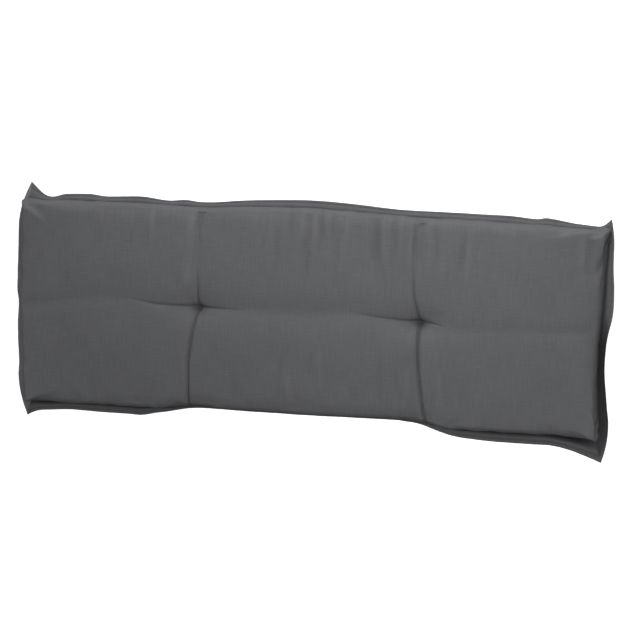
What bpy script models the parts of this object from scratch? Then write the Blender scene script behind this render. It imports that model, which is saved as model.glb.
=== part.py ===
"""Bench cushion lying on its back.

Two fabric panels are sewn together round a soft filling. The edges of the pad
roll over past the seam, two tufts pull the panels together on the centre line,
and creases run out from the tufts. Outside the seam the panels go on as a flat
stitched flange at mid thickness, with a pointed ear at each corner.

Metres, +Z up out of the front panel, +X along the length, +Y to the long side
that is the upper one in use.
"""

from collections import namedtuple

import bpy
import numpy as np

MM = 0.001

# Driving dimensions of the pad.
SEAM_HEIGHT = 34 * MM
FRONT_RISE = 31 * MM
BACK_DROP = 37 * MM
ROLL_WIDTH = 11 * MM
UNDERCUT_FRONT = np.radians(46)
UNDERCUT_BACK = np.radians(18)
BACK_BULGE = 0.4
CORNER_FULLNESS = 0.4

# The crown of the front: its rise, its half sizes, the place of its middle
# across the pad and how square its curve is each way.
CROWN_RISE = 15 * MM
CROWN_HALF_LENGTH = 575 * MM
CROWN_HALF_WIDTH = 195 * MM
CROWN_MIDDLE = 8 * MM
CROWN_SQUARENESS_ALONG = 5
CROWN_SQUARENESS_ACROSS = 2.2

# Driving dimensions of the flange.
RIM_HEIGHT = 3.2 * MM
SEAM_GAP = 0.3 * MM
STITCH_INSET = 0.74
LIFT_CURVE = 1.6
CREST_PLACE = 0.52
CREST_SPREAD = 0.24
EAR_SHARPNESS = 2.4
EAR_SWEEP = 1.6

# Spacing of the mesh lines.
ROLL_STEPS = 5
COLUMN_STEP = 34 * MM
ROW_STEP = 30 * MM
FINE_OFFSETS = np.array([5, 12, 24, 42]) * MM
FLANGE_STEP = 17 * MM
SEAM_EVENNESS = 0.35
COLUMN_SHIFT_REACH = 70 * MM
ROW_SHIFT_REACH = 90 * MM

# The pad across its long sides: where the rolled edge stands out furthest, and
# how far the seam is tucked in under it. All tables are in millimetres.
LongSection = namedtuple("LongSection", "x top bottom top_tuck bottom_tuck")
LONG_SECTIONS = [
    LongSection(-575, 212, -205, 8, 7),
    LongSection(-500, 215, -203, 8, 11),
    LongSection(-415, 215, -203, 8, 11),
    LongSection(-310, 214, -203, 8, 9),
    LongSection(-208, 212, -194, 7, 8),
    LongSection(-105, 216, -195, 8, 8),
    LongSection(0, 217, -195, 9, 8),
    LongSection(95, 214, -194, 10, 8),
    LongSection(195, 210, -193, 9, 8),
    LongSection(235, 208, -198, 7, 10),
    LongSection(300, 207, -206, 8, 11),
    LongSection(390, 204, -206, 9, 10),
    LongSection(485, 201, -205, 9, 10),
    LongSection(575, 198, -210, 5, 6),
]

# The same for the two short ends.
EndSection = namedtuple("EndSection", "y left right left_tuck right_tuck")
END_SECTIONS = [
    EndSection(-200, -584, 588, 11, 8),
    EndSection(-150, -590, 586, 12, 9),
    EndSection(-70, -591, 582, 12, 9),
    EndSection(0, -592, 582, 12, 8),
    EndSection(45, -591, 587, 12, 8),
    EndSection(95, -590, 590, 12, 8),
    EndSection(150, -589, 592, 11, 10),
    EndSection(200, -588, 595, 9, 12),
]

# The line that the tufts and the creases between them lie on.
RowPoint = namedtuple("RowPoint", "x y")
MIDDLE_ROW = [
    RowPoint(-580, 0),
    RowPoint(-360, 25),
    RowPoint(-290, 16),
    RowPoint(-208, 14),
    RowPoint(-110, 12),
    RowPoint(0, 11),
    RowPoint(100, 17),
    RowPoint(160, 12),
    RowPoint(237, 6),
    RowPoint(258, 5),
    RowPoint(285, 0),
    RowPoint(306, -6),
    RowPoint(400, -3),
    RowPoint(580, 0),
]

Tuft = namedtuple("Tuft", "x y depth spread back_depth back_spread")
TUFTS = [
    Tuft(-208, 11, 13, 9, 13, 20),
    Tuft(237, 3, 15, 10, 13, 20),
]
PIT_STRETCH = 1.35
PIT_ROUNDNESS = 4 * MM

# Creases down and up the panel from a tuft: a point on the way, the end, the
# depth at the tuft and at the end, and the half-width.
Crease = namedtuple("Crease", "tuft via_x via_y to_x to_y depth end_depth width")
CREASES = [
    Crease(0, -227, -97, -231, -215, 6.5, 4.0, 3.5),
    Crease(0, -207, 60, -208, 100, 6.0, 0, 3.5),
    Crease(1, 236, -45, 252, -215, 7.0, 4.0, 4),
    Crease(1, 227, 60, 225, 118, 6.5, 0, 4),
]

# Creases along the middle line from a tuft, fading out at their end.
SideCrease = namedtuple("SideCrease", "tuft to_x depth width")
SIDE_CREASES = [
    SideCrease(0, -350, 4.5, 5),
    SideCrease(0, -105, 4.5, 5),
    SideCrease(1, 105, 4.5, 5),
    SideCrease(1, 292, 4.5, 5),
]
CREASE_TAPER = 0.8
CREASE_END_FADE = 6 * MM

# Wide shallow troughs that join the tufts to each other and to the long sides.
TROUGH_DEPTH = 3.5 * MM
TROUGH_WIDTH = 34 * MM
BAND_DEPTH = 3.0 * MM
BAND_WIDTH = 30 * MM
BAND_FADE = 60 * MM

# How soon the dips die out over the rolled edge.
DIP_START = 1.6
DIP_FADE = 1.5

# The flange along each side: how far it reaches out from the seam, how far its
# edge stands above or below the seam, and the height of the crest that it bends
# up to under the roll. Each dip in reach is a pucker or a fold back.
FlangeSection = namedtuple("FlangeSection", "along reach lift crest")
FLANGE_TOP = [
    FlangeSection(-575, 23, -5, 0),
    FlangeSection(-528, 10, -8, 0),
    FlangeSection(-500, 15.5, -5, 0),
    FlangeSection(-448, 17, -4, 0),
    FlangeSection(-414, 13, -7, 0),
    FlangeSection(-340, 16.5, -4, 0),
    FlangeSection(-280, 11, -5, 0),
    FlangeSection(-246, 14, -5, 0),
    FlangeSection(-213, 11, -5, 0),
    FlangeSection(-130, 15, -5, 0),
    FlangeSection(60, 20.5, -4, 0),
    FlangeSection(230, 14, -5, 0),
    FlangeSection(330, 16, -5, 0),
    FlangeSection(400, 18, -4, 0),
    FlangeSection(452, 15, -7, 0),
    FlangeSection(470, 18.5, -5, 0),
    FlangeSection(530, 9, -5, 0),
    FlangeSection(573, 4.5, -4, 0),
]
FLANGE_BOTTOM = [
    FlangeSection(-575, 26, 0, 6),
    FlangeSection(-540, 25, 0, 9),
    FlangeSection(-500, 26, 0, 10),
    FlangeSection(-415, 28, 0, 10),
    FlangeSection(-345, 28, -1, 10),
    FlangeSection(-300, 20, -9, 3),
    FlangeSection(-240, 15, -17, 0),
    FlangeSection(0, 15, -17, 0),
    FlangeSection(215, 15, -17, 0),
    FlangeSection(270, 22, -8, 3),
    FlangeSection(330, 29, 0, 10),
    FlangeSection(465, 32, 0, 11),
    FlangeSection(496, 31, -2, 10),
    FlangeSection(550, 31, -1, 8),
    FlangeSection(575, 33, 0, 5),
]
FLANGE_LEFT = [
    FlangeSection(-200, 31, -3, 4),
    FlangeSection(-160, 29, 0, 5),
    FlangeSection(-120, 26, -3, 5),
    FlangeSection(-60, 26, 1, 5),
    FlangeSection(-2, 24, -4, 5),
    FlangeSection(30, 26, 0, 5),
    FlangeSection(110, 24, 1, 5),
    FlangeSection(165, 21, 0, 5),
    FlangeSection(205, 14, -5, 2),
]
FLANGE_RIGHT = [
    FlangeSection(-200, 25, -8, 0),
    FlangeSection(-150, 17, -24, 0),
    FlangeSection(-60, 14, -27, 0),
    FlangeSection(-30, 15.5, -19, 0),
    FlangeSection(22, 23.5, -2, 0),
    FlangeSection(120, 18, 0, 0),
    FlangeSection(200, 16, 0, 0),
]

# Tips of the four ears, their rise above the seam and how far along the long
# side and the short side they start.
Ear = namedtuple("Ear", "x y lift long_spread end_spread")
EARS = {
    "bottom_left": Ear(-588, -237, -5, 26, 34),
    "bottom_right": Ear(589, -256, -6, 85, 40),
    "top_right": Ear(593, 214, -3, 16, 30),
    "top_left": Ear(-574, 245, -6, 50, 20),
}

# Across the flange, from the seam to the edge: position and thickness.
FlangeRib = namedtuple("FlangeRib", "across thickness")
FLANGE_RIBS = [
    FlangeRib(0.0, 2.4 * MM),
    FlangeRib(0.3, 3.0 * MM),
    FlangeRib(0.52, 3.0 * MM),
    FlangeRib(STITCH_INSET, 1.8 * MM),
    FlangeRib(0.88, 2.8 * MM),
    FlangeRib(1.0, 2.2 * MM),
]

FABRIC_GREY = (0.085, 0.086, 0.090, 1.0)
FABRIC_ROUGHNESS = 0.92
PAD_SHARP_ANGLE = np.radians(60)
FLANGE_SHARP_ANGLE = np.radians(50)


def curve_through(xs, ys, at):
    """Smooth curve through the points, flat at each high and low point."""
    xs = np.asarray(xs, float)
    ys = np.asarray(ys, float)
    at = np.clip(at, xs[0], xs[-1])
    steps = np.diff(xs)
    slopes = np.diff(ys) / steps
    same_way = slopes[:-1] * slopes[1:] > 0
    safe = np.where(same_way, slopes[:-1] + slopes[1:], 1.0)
    inner = np.where(same_way, 2 * slopes[:-1] * slopes[1:] / safe, 0.0)
    tangents = np.concatenate([[slopes[0]], inner, [slopes[-1]]])
    left = np.clip(np.searchsorted(xs, at, side="right") - 1, 0, len(steps) - 1)
    h = steps[left]
    t = (at - xs[left]) / h
    return (
        (2 * t**3 - 3 * t**2 + 1) * ys[left]
        + (t**3 - 2 * t**2 + t) * h * tangents[left]
        + (3 * t**2 - 2 * t**3) * ys[left + 1]
        + (t**3 - t**2) * h * tangents[left + 1]
    )


def column(table, name, at):
    """One named column of a table in millimetres, read at a place in metres."""
    xs = [row[0] * MM for row in table]
    ys = [getattr(row, name) * MM for row in table]
    return curve_through(xs, ys, at)


def stations(low, high, centres, step):
    """Places from low to high, close together round the centres."""
    places = {low, high}
    for centre in centres:
        places.add(centre)
        for offset in FINE_OFFSETS:
            places.add(centre - offset)
            places.add(centre + offset)
    places = sorted(places)
    result = []
    for start, end in zip(places[:-1], places[1:]):
        count = max(1, round((end - start) / step))
        result.extend(np.linspace(start, end, count, endpoint=False))
    return np.array(result + [high])


class Lines:
    """The mesh lines of a panel in one direction, from one seam to the other.

    nominal and share place the lines over the pad, seam_share places their
    ends on the seam. rise is the share of the full height at each line. tuck
    is 1 at the seam and 0 from the widest line inward, at each of the ends.
    """

    def __init__(self, low, high, centres, step, undercut):
        angles = np.linspace(-undercut, np.pi / 2, ROLL_STEPS + 1)[:-1]
        inward = ROLL_WIDTH * (1 - np.cos(angles))
        full_tuck = ROLL_WIDTH * (1 - np.cos(undercut))
        rise = (np.sin(angles) + np.sin(undercut)) / (1 + np.sin(undercut))
        inner = stations(low + ROLL_WIDTH, high - ROLL_WIDTH, centres, step)
        ones = np.ones(len(inner))
        zeros = np.zeros(len(inner))
        below = angles < 0
        over = np.where(below, 0.0, inward)
        tuck = np.where(below, inward / full_tuck, 0.0)
        self.nominal = np.concatenate([low + over, inner, (high - over)[::-1]])
        self.tuck_low = np.concatenate([tuck, zeros, np.zeros(len(tuck))])
        self.tuck_high = self.tuck_low[::-1]
        self.rise = np.concatenate([rise, ones, rise[::-1]])
        self.share = (self.nominal - low) / (high - low)
        even = np.linspace(0, 1, len(self.share))
        self.seam_share = self.share + SEAM_EVENNESS * (even - self.share)


def panel_lines(undercut):
    """Mesh lines along and across one panel."""
    long_ends = (END_SECTIONS[0].left * MM, END_SECTIONS[0].right * MM)
    short_ends = (LONG_SECTIONS[0].bottom * MM, LONG_SECTIONS[0].top * MM)
    tuft_columns = [tuft.x * MM for tuft in TUFTS]
    along = Lines(*long_ends, tuft_columns, COLUMN_STEP, undercut)
    across = Lines(*short_ends, [0.0], ROW_STEP, undercut)
    return along, across


def middle_row(x):
    """Where the middle line lies at each x, as y."""
    xs, ys = np.array(MIDDLE_ROW).T * MM
    return curve_through(xs, ys, x)


def crease_path(crease, y):
    """Where a crease lies at each y, as x."""
    tuft = TUFTS[crease.tuft]
    ends = [(tuft.y, tuft.x), (crease.via_y, crease.via_x), (crease.to_y, crease.to_x)]
    ys, xs = np.array(sorted(ends)).T * MM
    return curve_through(ys, xs, y)


def column_shift(x, y):
    """Moves the mesh columns near a tuft onto its creases."""
    shift = np.zeros_like(x)
    for crease in CREASES:
        tuft = TUFTS[crease.tuft]
        near = np.exp(-(((x - tuft.x * MM) / COLUMN_SHIFT_REACH) ** 2))
        on_its_side = np.sign(y - tuft.y * MM) == np.sign(crease.to_y - tuft.y)
        shift += np.where(on_its_side, near * (crease_path(crease, y) - tuft.x * MM), 0.0)
    return shift


def row_shift(x, y):
    """Moves the middle mesh rows onto the middle line."""
    return middle_row(x) * np.exp(-((y / ROW_SHIFT_REACH) ** 2))


def base_grid(along, across, bulge):
    """Plan of a panel and the share of its full height at each point.

    bulge is the share of the tables' tuck that the panel's roll stands out.
    """
    x, y = np.meshgrid(along.nominal, across.nominal, indexing="ij")
    rise_x, rise_y = np.meshgrid(along.rise, across.rise, indexing="ij")
    seam_left = column(END_SECTIONS, "left", y) + column(END_SECTIONS, "left_tuck", y)
    seam_right = column(END_SECTIONS, "right", y) - column(END_SECTIONS, "right_tuck", y)
    seam_top = column(LONG_SECTIONS, "top", x) - column(LONG_SECTIONS, "top_tuck", x)
    seam_bottom = column(LONG_SECTIONS, "bottom", x) + column(LONG_SECTIONS, "bottom_tuck", x)
    left = seam_left - bulge * column(END_SECTIONS, "left_tuck", y)
    right = seam_right + bulge * column(END_SECTIONS, "right_tuck", y)
    top = seam_top + bulge * column(LONG_SECTIONS, "top_tuck", x)
    bottom = seam_bottom - bulge * column(LONG_SECTIONS, "bottom_tuck", x)
    over_x = left + (right - left) * along.share[:, None]
    over_x = over_x + along.tuck_low[:, None] * (seam_left - left)
    over_x = over_x + along.tuck_high[:, None] * (seam_right - right)
    over_y = bottom + (top - bottom) * across.share[None, :]
    over_y = over_y + across.tuck_low[None, :] * (seam_bottom - bottom)
    over_y = over_y + across.tuck_high[None, :] * (seam_top - top)
    flat_x = seam_left + (seam_right - seam_left) * along.seam_share[:, None]
    flat_y = seam_bottom + (seam_top - seam_bottom) * across.seam_share[None, :]
    ease_x = 1 - (1 - rise_x) ** 2
    ease_y = 1 - (1 - rise_y) ** 2
    plan_x = flat_x + (over_x - flat_x) * ease_y
    plan_y = flat_y + (over_y - flat_y) * ease_x
    plan_y = plan_y + row_shift(plan_x, plan_y)
    plan_x = plan_x + column_shift(plan_x, plan_y) * ease_y
    height = rise_x * rise_y * (1 + CORNER_FULLNESS * (1 - rise_x) * (1 - rise_y))
    return plan_x, plan_y, height


def crown(x, y):
    """Swell of the front from the rolled edges to the middle, 0 to 1."""
    from_middle = np.clip(np.abs(y - CROWN_MIDDLE) / CROWN_HALF_WIDTH, 0, 1)
    from_centre = np.clip(np.abs(x) / CROWN_HALF_LENGTH, 0, 1)
    across = 1 - from_middle**CROWN_SQUARENESS_ACROSS
    along = 1 - from_centre**CROWN_SQUARENESS_ALONG
    return across * along


def tuft_pits(x, y, depth_name, spread_name):
    """Funnel-shaped dips of the tufts."""
    total = np.zeros_like(x)
    for tuft in TUFTS:
        dx = (x - tuft.x * MM) / PIT_STRETCH
        dy = y - tuft.y * MM
        distance = np.sqrt(dx**2 + dy**2 + PIT_ROUNDNESS**2) - PIT_ROUNDNESS
        spread = getattr(tuft, spread_name) * MM
        total += getattr(tuft, depth_name) * MM * np.exp(-distance / spread)
    return total


def crease_dip(off_line, along, length, depth, end_depth, width):
    """One narrow dip, deepest on its line and fading out past its ends."""
    inside = np.clip(along / length, 0, 1)
    past = np.abs(along - inside * length)
    deep = (depth + (end_depth - depth) * inside**CREASE_TAPER) * MM
    return deep * np.exp(-np.abs(off_line) / (width * MM)) * np.exp(-past / CREASE_END_FADE)


def crease_dips(x, y):
    """The deepest of the narrow dips that run out from the tufts."""
    deepest = np.zeros_like(x)
    for crease in CREASES:
        tuft = TUFTS[crease.tuft]
        way = np.sign(crease.to_y - tuft.y)
        length = abs(crease.to_y - tuft.y) * MM
        along = (y - tuft.y * MM) * way
        off_line = x - crease_path(crease, y)
        dip = crease_dip(off_line, along, length, crease.depth, crease.end_depth, crease.width)
        deepest = np.maximum(deepest, dip)
    for crease in SIDE_CREASES:
        tuft = TUFTS[crease.tuft]
        way = np.sign(crease.to_x - tuft.x)
        length = abs(crease.to_x - tuft.x) * MM
        along = (x - tuft.x * MM) * way
        off_line = y - middle_row(x)
        dip = crease_dip(off_line, along, length, crease.depth, 0.0, crease.width)
        deepest = np.maximum(deepest, dip)
    return deepest


def troughs(x, y):
    """Wide soft troughs along the tufts' columns and between the tufts."""
    total = np.zeros_like(x)
    for tuft in TUFTS:
        total += TROUGH_DEPTH * np.exp(-(((x - tuft.x * MM) / TROUGH_WIDTH) ** 2))
    start = TUFTS[0].x * MM - BAND_FADE
    end = TUFTS[1].x * MM + BAND_FADE
    softness = BAND_FADE / 3
    inside = 1 / (1 + np.exp((start - x) / softness)) / (1 + np.exp((x - end) / softness))
    return total + BAND_DEPTH * inside * np.exp(-(((y - middle_row(x)) / BAND_WIDTH) ** 2))


def normals_of(points):
    """Unit normals of a grid of points, on the side of its X cross Y."""
    along = np.gradient(points, axis=0)
    across = np.gradient(points, axis=1)
    normal = np.cross(along, across)
    return normal / np.linalg.norm(normal, axis=2, keepdims=True)


def front_panel():
    """Grid of points of the front panel."""
    along, across = panel_lines(UNDERCUT_FRONT)
    x, y, height = base_grid(along, across, 1.0)
    z = SEAM_HEIGHT + RIM_HEIGHT / 2 + FRONT_RISE * height + CROWN_RISE * crown(x, y) * height**3
    points = np.stack([x, y, z], axis=2)
    pressed = tuft_pits(x, y, "depth", "spread") + crease_dips(x, y) + troughs(x, y)
    pressed = pressed * np.clip(DIP_START * height, 0, 1) ** DIP_FADE
    return points - normals_of(points) * pressed[:, :, None]


def back_panel():
    """Grid of points of the back panel, flat where it rests."""
    along, across = panel_lines(UNDERCUT_BACK)
    x, y, height = base_grid(along, across, BACK_BULGE)
    lift = tuft_pits(x, y, "back_depth", "back_spread") * np.clip(height, 0, 1)
    z = SEAM_HEIGHT - RIM_HEIGHT / 2 - BACK_DROP * height + lift
    return np.stack([x, y, np.clip(z, 0.0, None)], axis=2)


def border(columns, rows):
    """Grid indices round the border, counter-clockwise from above."""
    bottom = [(i, 0) for i in range(columns - 1)]
    right = [(columns - 1, j) for j in range(rows - 1)]
    top = [(i, rows - 1) for i in range(columns - 1, 0, -1)]
    left = [(0, j) for j in range(rows - 1, 0, -1)]
    return bottom + right + top + left


def make_object(name, vertices, faces, material, sharp_angle):
    """Mesh object with one material, smooth but for its sharp edges."""
    mesh = bpy.data.meshes.new(name)
    mesh.from_pydata([tuple(map(float, v)) for v in vertices], [], faces)
    mesh.materials.append(material)
    mesh.shade_smooth()
    mesh.set_sharp_from_angle(angle=sharp_angle)
    made = bpy.data.objects.new(name, mesh)
    bpy.context.scene.collection.objects.link(made)
    return made


def fabric_material(name):
    """Dull dark grey cloth."""
    material = bpy.data.materials.new(name)
    material.use_nodes = True
    shader = material.node_tree.nodes["Principled BSDF"]
    shader.inputs["Base Color"].default_value = FABRIC_GREY
    shader.inputs["Roughness"].default_value = FABRIC_ROUGHNESS
    shader.inputs["Metallic"].default_value = 0.0
    return material


def build_cushion(front, back, material):
    """The filled pad: both panels, joined by a narrow rim at the seam."""
    columns, rows = front.shape[:2]
    count = columns * rows
    vertices = np.concatenate([front.reshape(-1, 3), back.reshape(-1, 3)])
    faces = []
    for i in range(columns - 1):
        for j in range(rows - 1):
            a = i * rows + j
            b = a + rows
            faces.append((a, b, b + 1, a + 1))
            faces.append((count + a, count + a + 1, count + b + 1, count + b))
    loop = [i * rows + j for i, j in border(columns, rows)]
    for a, b in zip(loop, loop[1:] + loop[:1]):
        faces.append((b, a, count + a, count + b))
    return make_object("cushion", vertices, faces, material, PAD_SHARP_ANGLE)


FlangeSide = namedtuple("FlangeSide", "table normal along start end")
FLANGE_SIDES = [
    FlangeSide(FLANGE_BOTTOM, (0, -1), (1, 0), "bottom_left", "bottom_right"),
    FlangeSide(FLANGE_RIGHT, (1, 0), (0, 1), "bottom_right", "top_right"),
    FlangeSide(FLANGE_TOP, (0, 1), (-1, 0), "top_right", "top_left"),
    FlangeSide(FLANGE_LEFT, (-1, 0), (0, -1), "top_left", "bottom_left"),
]


def side_points(seam):
    """Splits one side's seam into flange stations of about a step each."""
    points = []
    for a, b in zip(seam[:-1], seam[1:]):
        count = max(1, round(np.hypot(*(b - a)) / FLANGE_STEP))
        points.extend(a + (b - a) * k / count for k in range(count))
    return np.array(points)


def side_offsets(side, points, first, last):
    """Offset in plan, lift of the edge and crest at each point of a side."""
    normal = np.array(side.normal, float)
    along = np.array(side.along, float)
    place = points @ np.abs(along)
    reach = column(side.table, "reach", place)
    lift = column(side.table, "lift", place)
    crest = column(side.table, "crest", place)
    shift = np.zeros(len(points))
    for corner, name, outward in ((first, side.start, -along), (last, side.end, along)):
        tip = EARS[name]
        away = np.array([tip.x, tip.y]) * MM - corner
        distance = np.abs((points - corner) @ along)
        spread = tip.long_spread if side.along[0] else tip.end_spread
        near = np.clip(1 - distance / (spread * MM), 0, None)
        reach = reach + (away @ normal - reach) * near**EAR_SHARPNESS
        lift = lift + (tip.lift * MM - lift) * near**EAR_SHARPNESS
        shift = shift + outward @ along * (away @ outward) * near**EAR_SWEEP
    return reach[:, None] * normal + shift[:, None] * along, lift, crest


def mitred_normals(points):
    """Outward normals at the corners of a closed loop, scaled for an offset."""
    ahead = np.roll(points, -1, axis=0) - points
    ahead = ahead / np.linalg.norm(ahead, axis=1, keepdims=True)
    behind = np.roll(ahead, 1, axis=0)
    out_ahead = np.stack([ahead[:, 1], -ahead[:, 0]], axis=1)
    out_behind = np.stack([behind[:, 1], -behind[:, 0]], axis=1)
    total = out_ahead + out_behind
    return 2 * total / np.sum(total * total, axis=1, keepdims=True)


def flange_height(lift, crest, across):
    """Height of the flange over the seam, and how fast it rises across."""
    bump = np.exp(-(((across - CREST_PLACE) / CREST_SPREAD) ** 2))
    height = lift * across**LIFT_CURVE + crest * bump
    rising = lift * LIFT_CURVE * across ** (LIFT_CURVE - 1)
    rising = rising - crest * bump * 2 * (across - CREST_PLACE) / CREST_SPREAD**2
    return height, rising


def flange_rings(seam_sides):
    """Rings of points round the flange: the ribs on top, then underneath."""
    points, offsets, lifts, crests = [], [], [], []
    for number, side in enumerate(FLANGE_SIDES):
        seam = seam_sides[number]
        inner = side_points(seam)
        offset, lift, crest = side_offsets(side, inner, seam[0], seam[-1])
        points.append(inner)
        offsets.append(offset)
        lifts.append(lift)
        crests.append(crest)
    points = np.concatenate(points)
    offsets = np.concatenate(offsets)
    lifts = np.concatenate(lifts)
    crests = np.concatenate(crests)
    start = points + mitred_normals(points) * SEAM_GAP
    reach = np.linalg.norm(offsets, axis=1)
    outward = offsets / reach[:, None]
    rings = {1: [], -1: []}
    for rib in FLANGE_RIBS:
        height, rising = flange_height(lifts, crests, rib.across)
        slope = rising / reach
        level = 1 / np.sqrt(1 + slope**2)
        middle = start + offsets * rib.across
        for face in (1, -1):
            half = face * rib.thickness / 2
            plan = middle - outward * (slope * level * half)[:, None]
            z = SEAM_HEIGHT + height + level * half
            rings[face].append(np.column_stack([plan, z]))
    return rings[1] + rings[-1][::-1]


def build_flange(seam_sides, material):
    """The flange as one closed ring."""
    rings = flange_rings(seam_sides)
    count = len(rings[0])
    faces = []
    for ring in range(len(rings)):
        upper = ring * count
        lower = ((ring + 1) % len(rings)) * count
        for k in range(count):
            after = (k + 1) % count
            faces.append((upper + k, lower + k, lower + after, upper + after))
    vertices = np.concatenate(rings)
    return make_object("edge_flange", vertices, faces, material, FLANGE_SHARP_ANGLE)


def seam_of(front):
    """The seam in plan as four runs, each ending where the next one starts."""
    plan = front[:, :, :2]
    bottom = plan[:, 0]
    right = plan[-1, :]
    top = plan[::-1, -1]
    left = plan[0, ::-1]
    return [bottom, right, top, left]


def centre_over_origin(objects):
    """Moves the meshes so that the middle of the whole lies over the origin."""
    corners = np.array([v.co[:] for made in objects for v in made.data.vertices])
    middle = (corners.min(axis=0) + corners.max(axis=0)) / 2
    for made in objects:
        for vertex in made.data.vertices:
            vertex.co.x -= middle[0]
            vertex.co.y -= middle[1]


def main():
    for old in list(bpy.data.objects):
        bpy.data.objects.remove(old, do_unlink=True)
    front = front_panel()
    back = back_panel()
    back[[0, -1], :, :2] = front[[0, -1], :, :2]
    back[:, [0, -1], :2] = front[:, [0, -1], :2]
    cushion = build_cushion(front, back, fabric_material("cushion_fabric"))
    flange = build_flange(seam_of(front), fabric_material("flange_fabric"))
    centre_over_origin([cushion, flange])


main()
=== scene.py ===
import math
from collections import namedtuple

import bpy
import numpy as np
from mathutils import Matrix, Vector


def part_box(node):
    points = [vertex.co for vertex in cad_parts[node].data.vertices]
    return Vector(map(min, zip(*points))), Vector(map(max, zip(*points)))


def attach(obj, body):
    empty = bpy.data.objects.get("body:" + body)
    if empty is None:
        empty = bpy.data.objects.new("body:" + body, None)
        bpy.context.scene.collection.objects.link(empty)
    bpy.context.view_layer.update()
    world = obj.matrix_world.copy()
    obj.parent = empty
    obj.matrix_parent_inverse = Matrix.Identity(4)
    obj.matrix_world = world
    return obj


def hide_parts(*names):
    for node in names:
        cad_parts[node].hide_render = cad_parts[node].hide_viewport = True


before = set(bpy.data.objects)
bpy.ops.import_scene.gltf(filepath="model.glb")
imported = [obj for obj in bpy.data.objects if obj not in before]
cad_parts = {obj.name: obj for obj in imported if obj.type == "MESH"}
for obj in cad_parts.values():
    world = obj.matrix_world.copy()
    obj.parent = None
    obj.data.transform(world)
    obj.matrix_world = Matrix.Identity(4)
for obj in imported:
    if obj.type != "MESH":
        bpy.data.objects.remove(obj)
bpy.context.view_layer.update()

MM = 0.001

# Driving dimensions of the pad.
SEAM_HEIGHT = 34 * MM
FRONT_RISE = 31 * MM
BACK_DROP = 37 * MM
ROLL_WIDTH = 11 * MM
UNDERCUT_FRONT = np.radians(46)
UNDERCUT_BACK = np.radians(18)
BACK_BULGE = 0.4
CORNER_FULLNESS = 0.4

# The crown of the front: its rise, its half sizes, the place of its middle
# across the pad and how square its curve is each way.
CROWN_RISE = 15 * MM
CROWN_HALF_LENGTH = 575 * MM
CROWN_HALF_WIDTH = 195 * MM
CROWN_MIDDLE = 8 * MM
CROWN_SQUARENESS_ALONG = 5
CROWN_SQUARENESS_ACROSS = 2.2

# Driving dimensions of the flange.
RIM_HEIGHT = 3.2 * MM
SEAM_GAP = 0.3 * MM
STITCH_INSET = 0.74
LIFT_CURVE = 1.6
CREST_PLACE = 0.52
CREST_SPREAD = 0.24
EAR_SHARPNESS = 2.4
EAR_SWEEP = 1.6

# The pad across its long sides: where the rolled edge stands out furthest, and
# how far the seam is tucked in under it. All tables are in millimetres.
LongSection = namedtuple("LongSection", "x top bottom top_tuck bottom_tuck")
LONG_SECTIONS = [
    LongSection(-575, 212, -205, 8, 7),
    LongSection(-500, 215, -203, 8, 11),
    LongSection(-415, 215, -203, 8, 11),
    LongSection(-310, 214, -203, 8, 9),
    LongSection(-208, 212, -194, 7, 8),
    LongSection(-105, 216, -195, 8, 8),
    LongSection(0, 217, -195, 9, 8),
    LongSection(95, 214, -194, 10, 8),
    LongSection(195, 210, -193, 9, 8),
    LongSection(235, 208, -198, 7, 10),
    LongSection(300, 207, -206, 8, 11),
    LongSection(390, 204, -206, 9, 10),
    LongSection(485, 201, -205, 9, 10),
    LongSection(575, 198, -210, 5, 6),
]

# The same for the two short ends.
EndSection = namedtuple("EndSection", "y left right left_tuck right_tuck")
END_SECTIONS = [
    EndSection(-200, -584, 588, 11, 8),
    EndSection(-150, -590, 586, 12, 9),
    EndSection(-70, -591, 582, 12, 9),
    EndSection(0, -592, 582, 12, 8),
    EndSection(45, -591, 587, 12, 8),
    EndSection(95, -590, 590, 12, 8),
    EndSection(150, -589, 592, 11, 10),
    EndSection(200, -588, 595, 9, 12),
]

# The line that the tufts and the creases between them lie on.
RowPoint = namedtuple("RowPoint", "x y")
MIDDLE_ROW = [
    RowPoint(-580, 0),
    RowPoint(-360, 25),
    RowPoint(-290, 16),
    RowPoint(-208, 14),
    RowPoint(-110, 12),
    RowPoint(0, 11),
    RowPoint(100, 17),
    RowPoint(160, 12),
    RowPoint(237, 6),
    RowPoint(258, 5),
    RowPoint(285, 0),
    RowPoint(306, -6),
    RowPoint(400, -3),
    RowPoint(580, 0),
]

Tuft = namedtuple("Tuft", "x y depth spread back_depth back_spread")
TUFTS = [
    Tuft(-208, 11, 13, 9, 13, 20),
    Tuft(237, 3, 15, 10, 13, 20),
]
PIT_STRETCH = 1.35
PIT_ROUNDNESS = 4 * MM

# Creases down and up the panel from a tuft: a point on the way, the end, the
# depth at the tuft and at the end, and the half-width.
Crease = namedtuple("Crease", "tuft via_x via_y to_x to_y depth end_depth width")
CREASES = [
    Crease(0, -227, -97, -231, -215, 6.5, 4.0, 3.5),
    Crease(0, -207, 60, -208, 100, 6.0, 0, 3.5),
    Crease(1, 236, -45, 252, -215, 7.0, 4.0, 4),
    Crease(1, 227, 60, 225, 118, 6.5, 0, 4),
]

# Creases along the middle line from a tuft, fading out at their end.
SideCrease = namedtuple("SideCrease", "tuft to_x depth width")
SIDE_CREASES = [
    SideCrease(0, -350, 4.5, 5),
    SideCrease(0, -105, 4.5, 5),
    SideCrease(1, 105, 4.5, 5),
    SideCrease(1, 292, 4.5, 5),
]
CREASE_TAPER = 0.8
CREASE_END_FADE = 6 * MM

# Wide shallow troughs that join the tufts to each other and to the long sides.
TROUGH_DEPTH = 3.5 * MM
TROUGH_WIDTH = 34 * MM
BAND_DEPTH = 3.0 * MM
BAND_WIDTH = 30 * MM
BAND_FADE = 60 * MM

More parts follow.
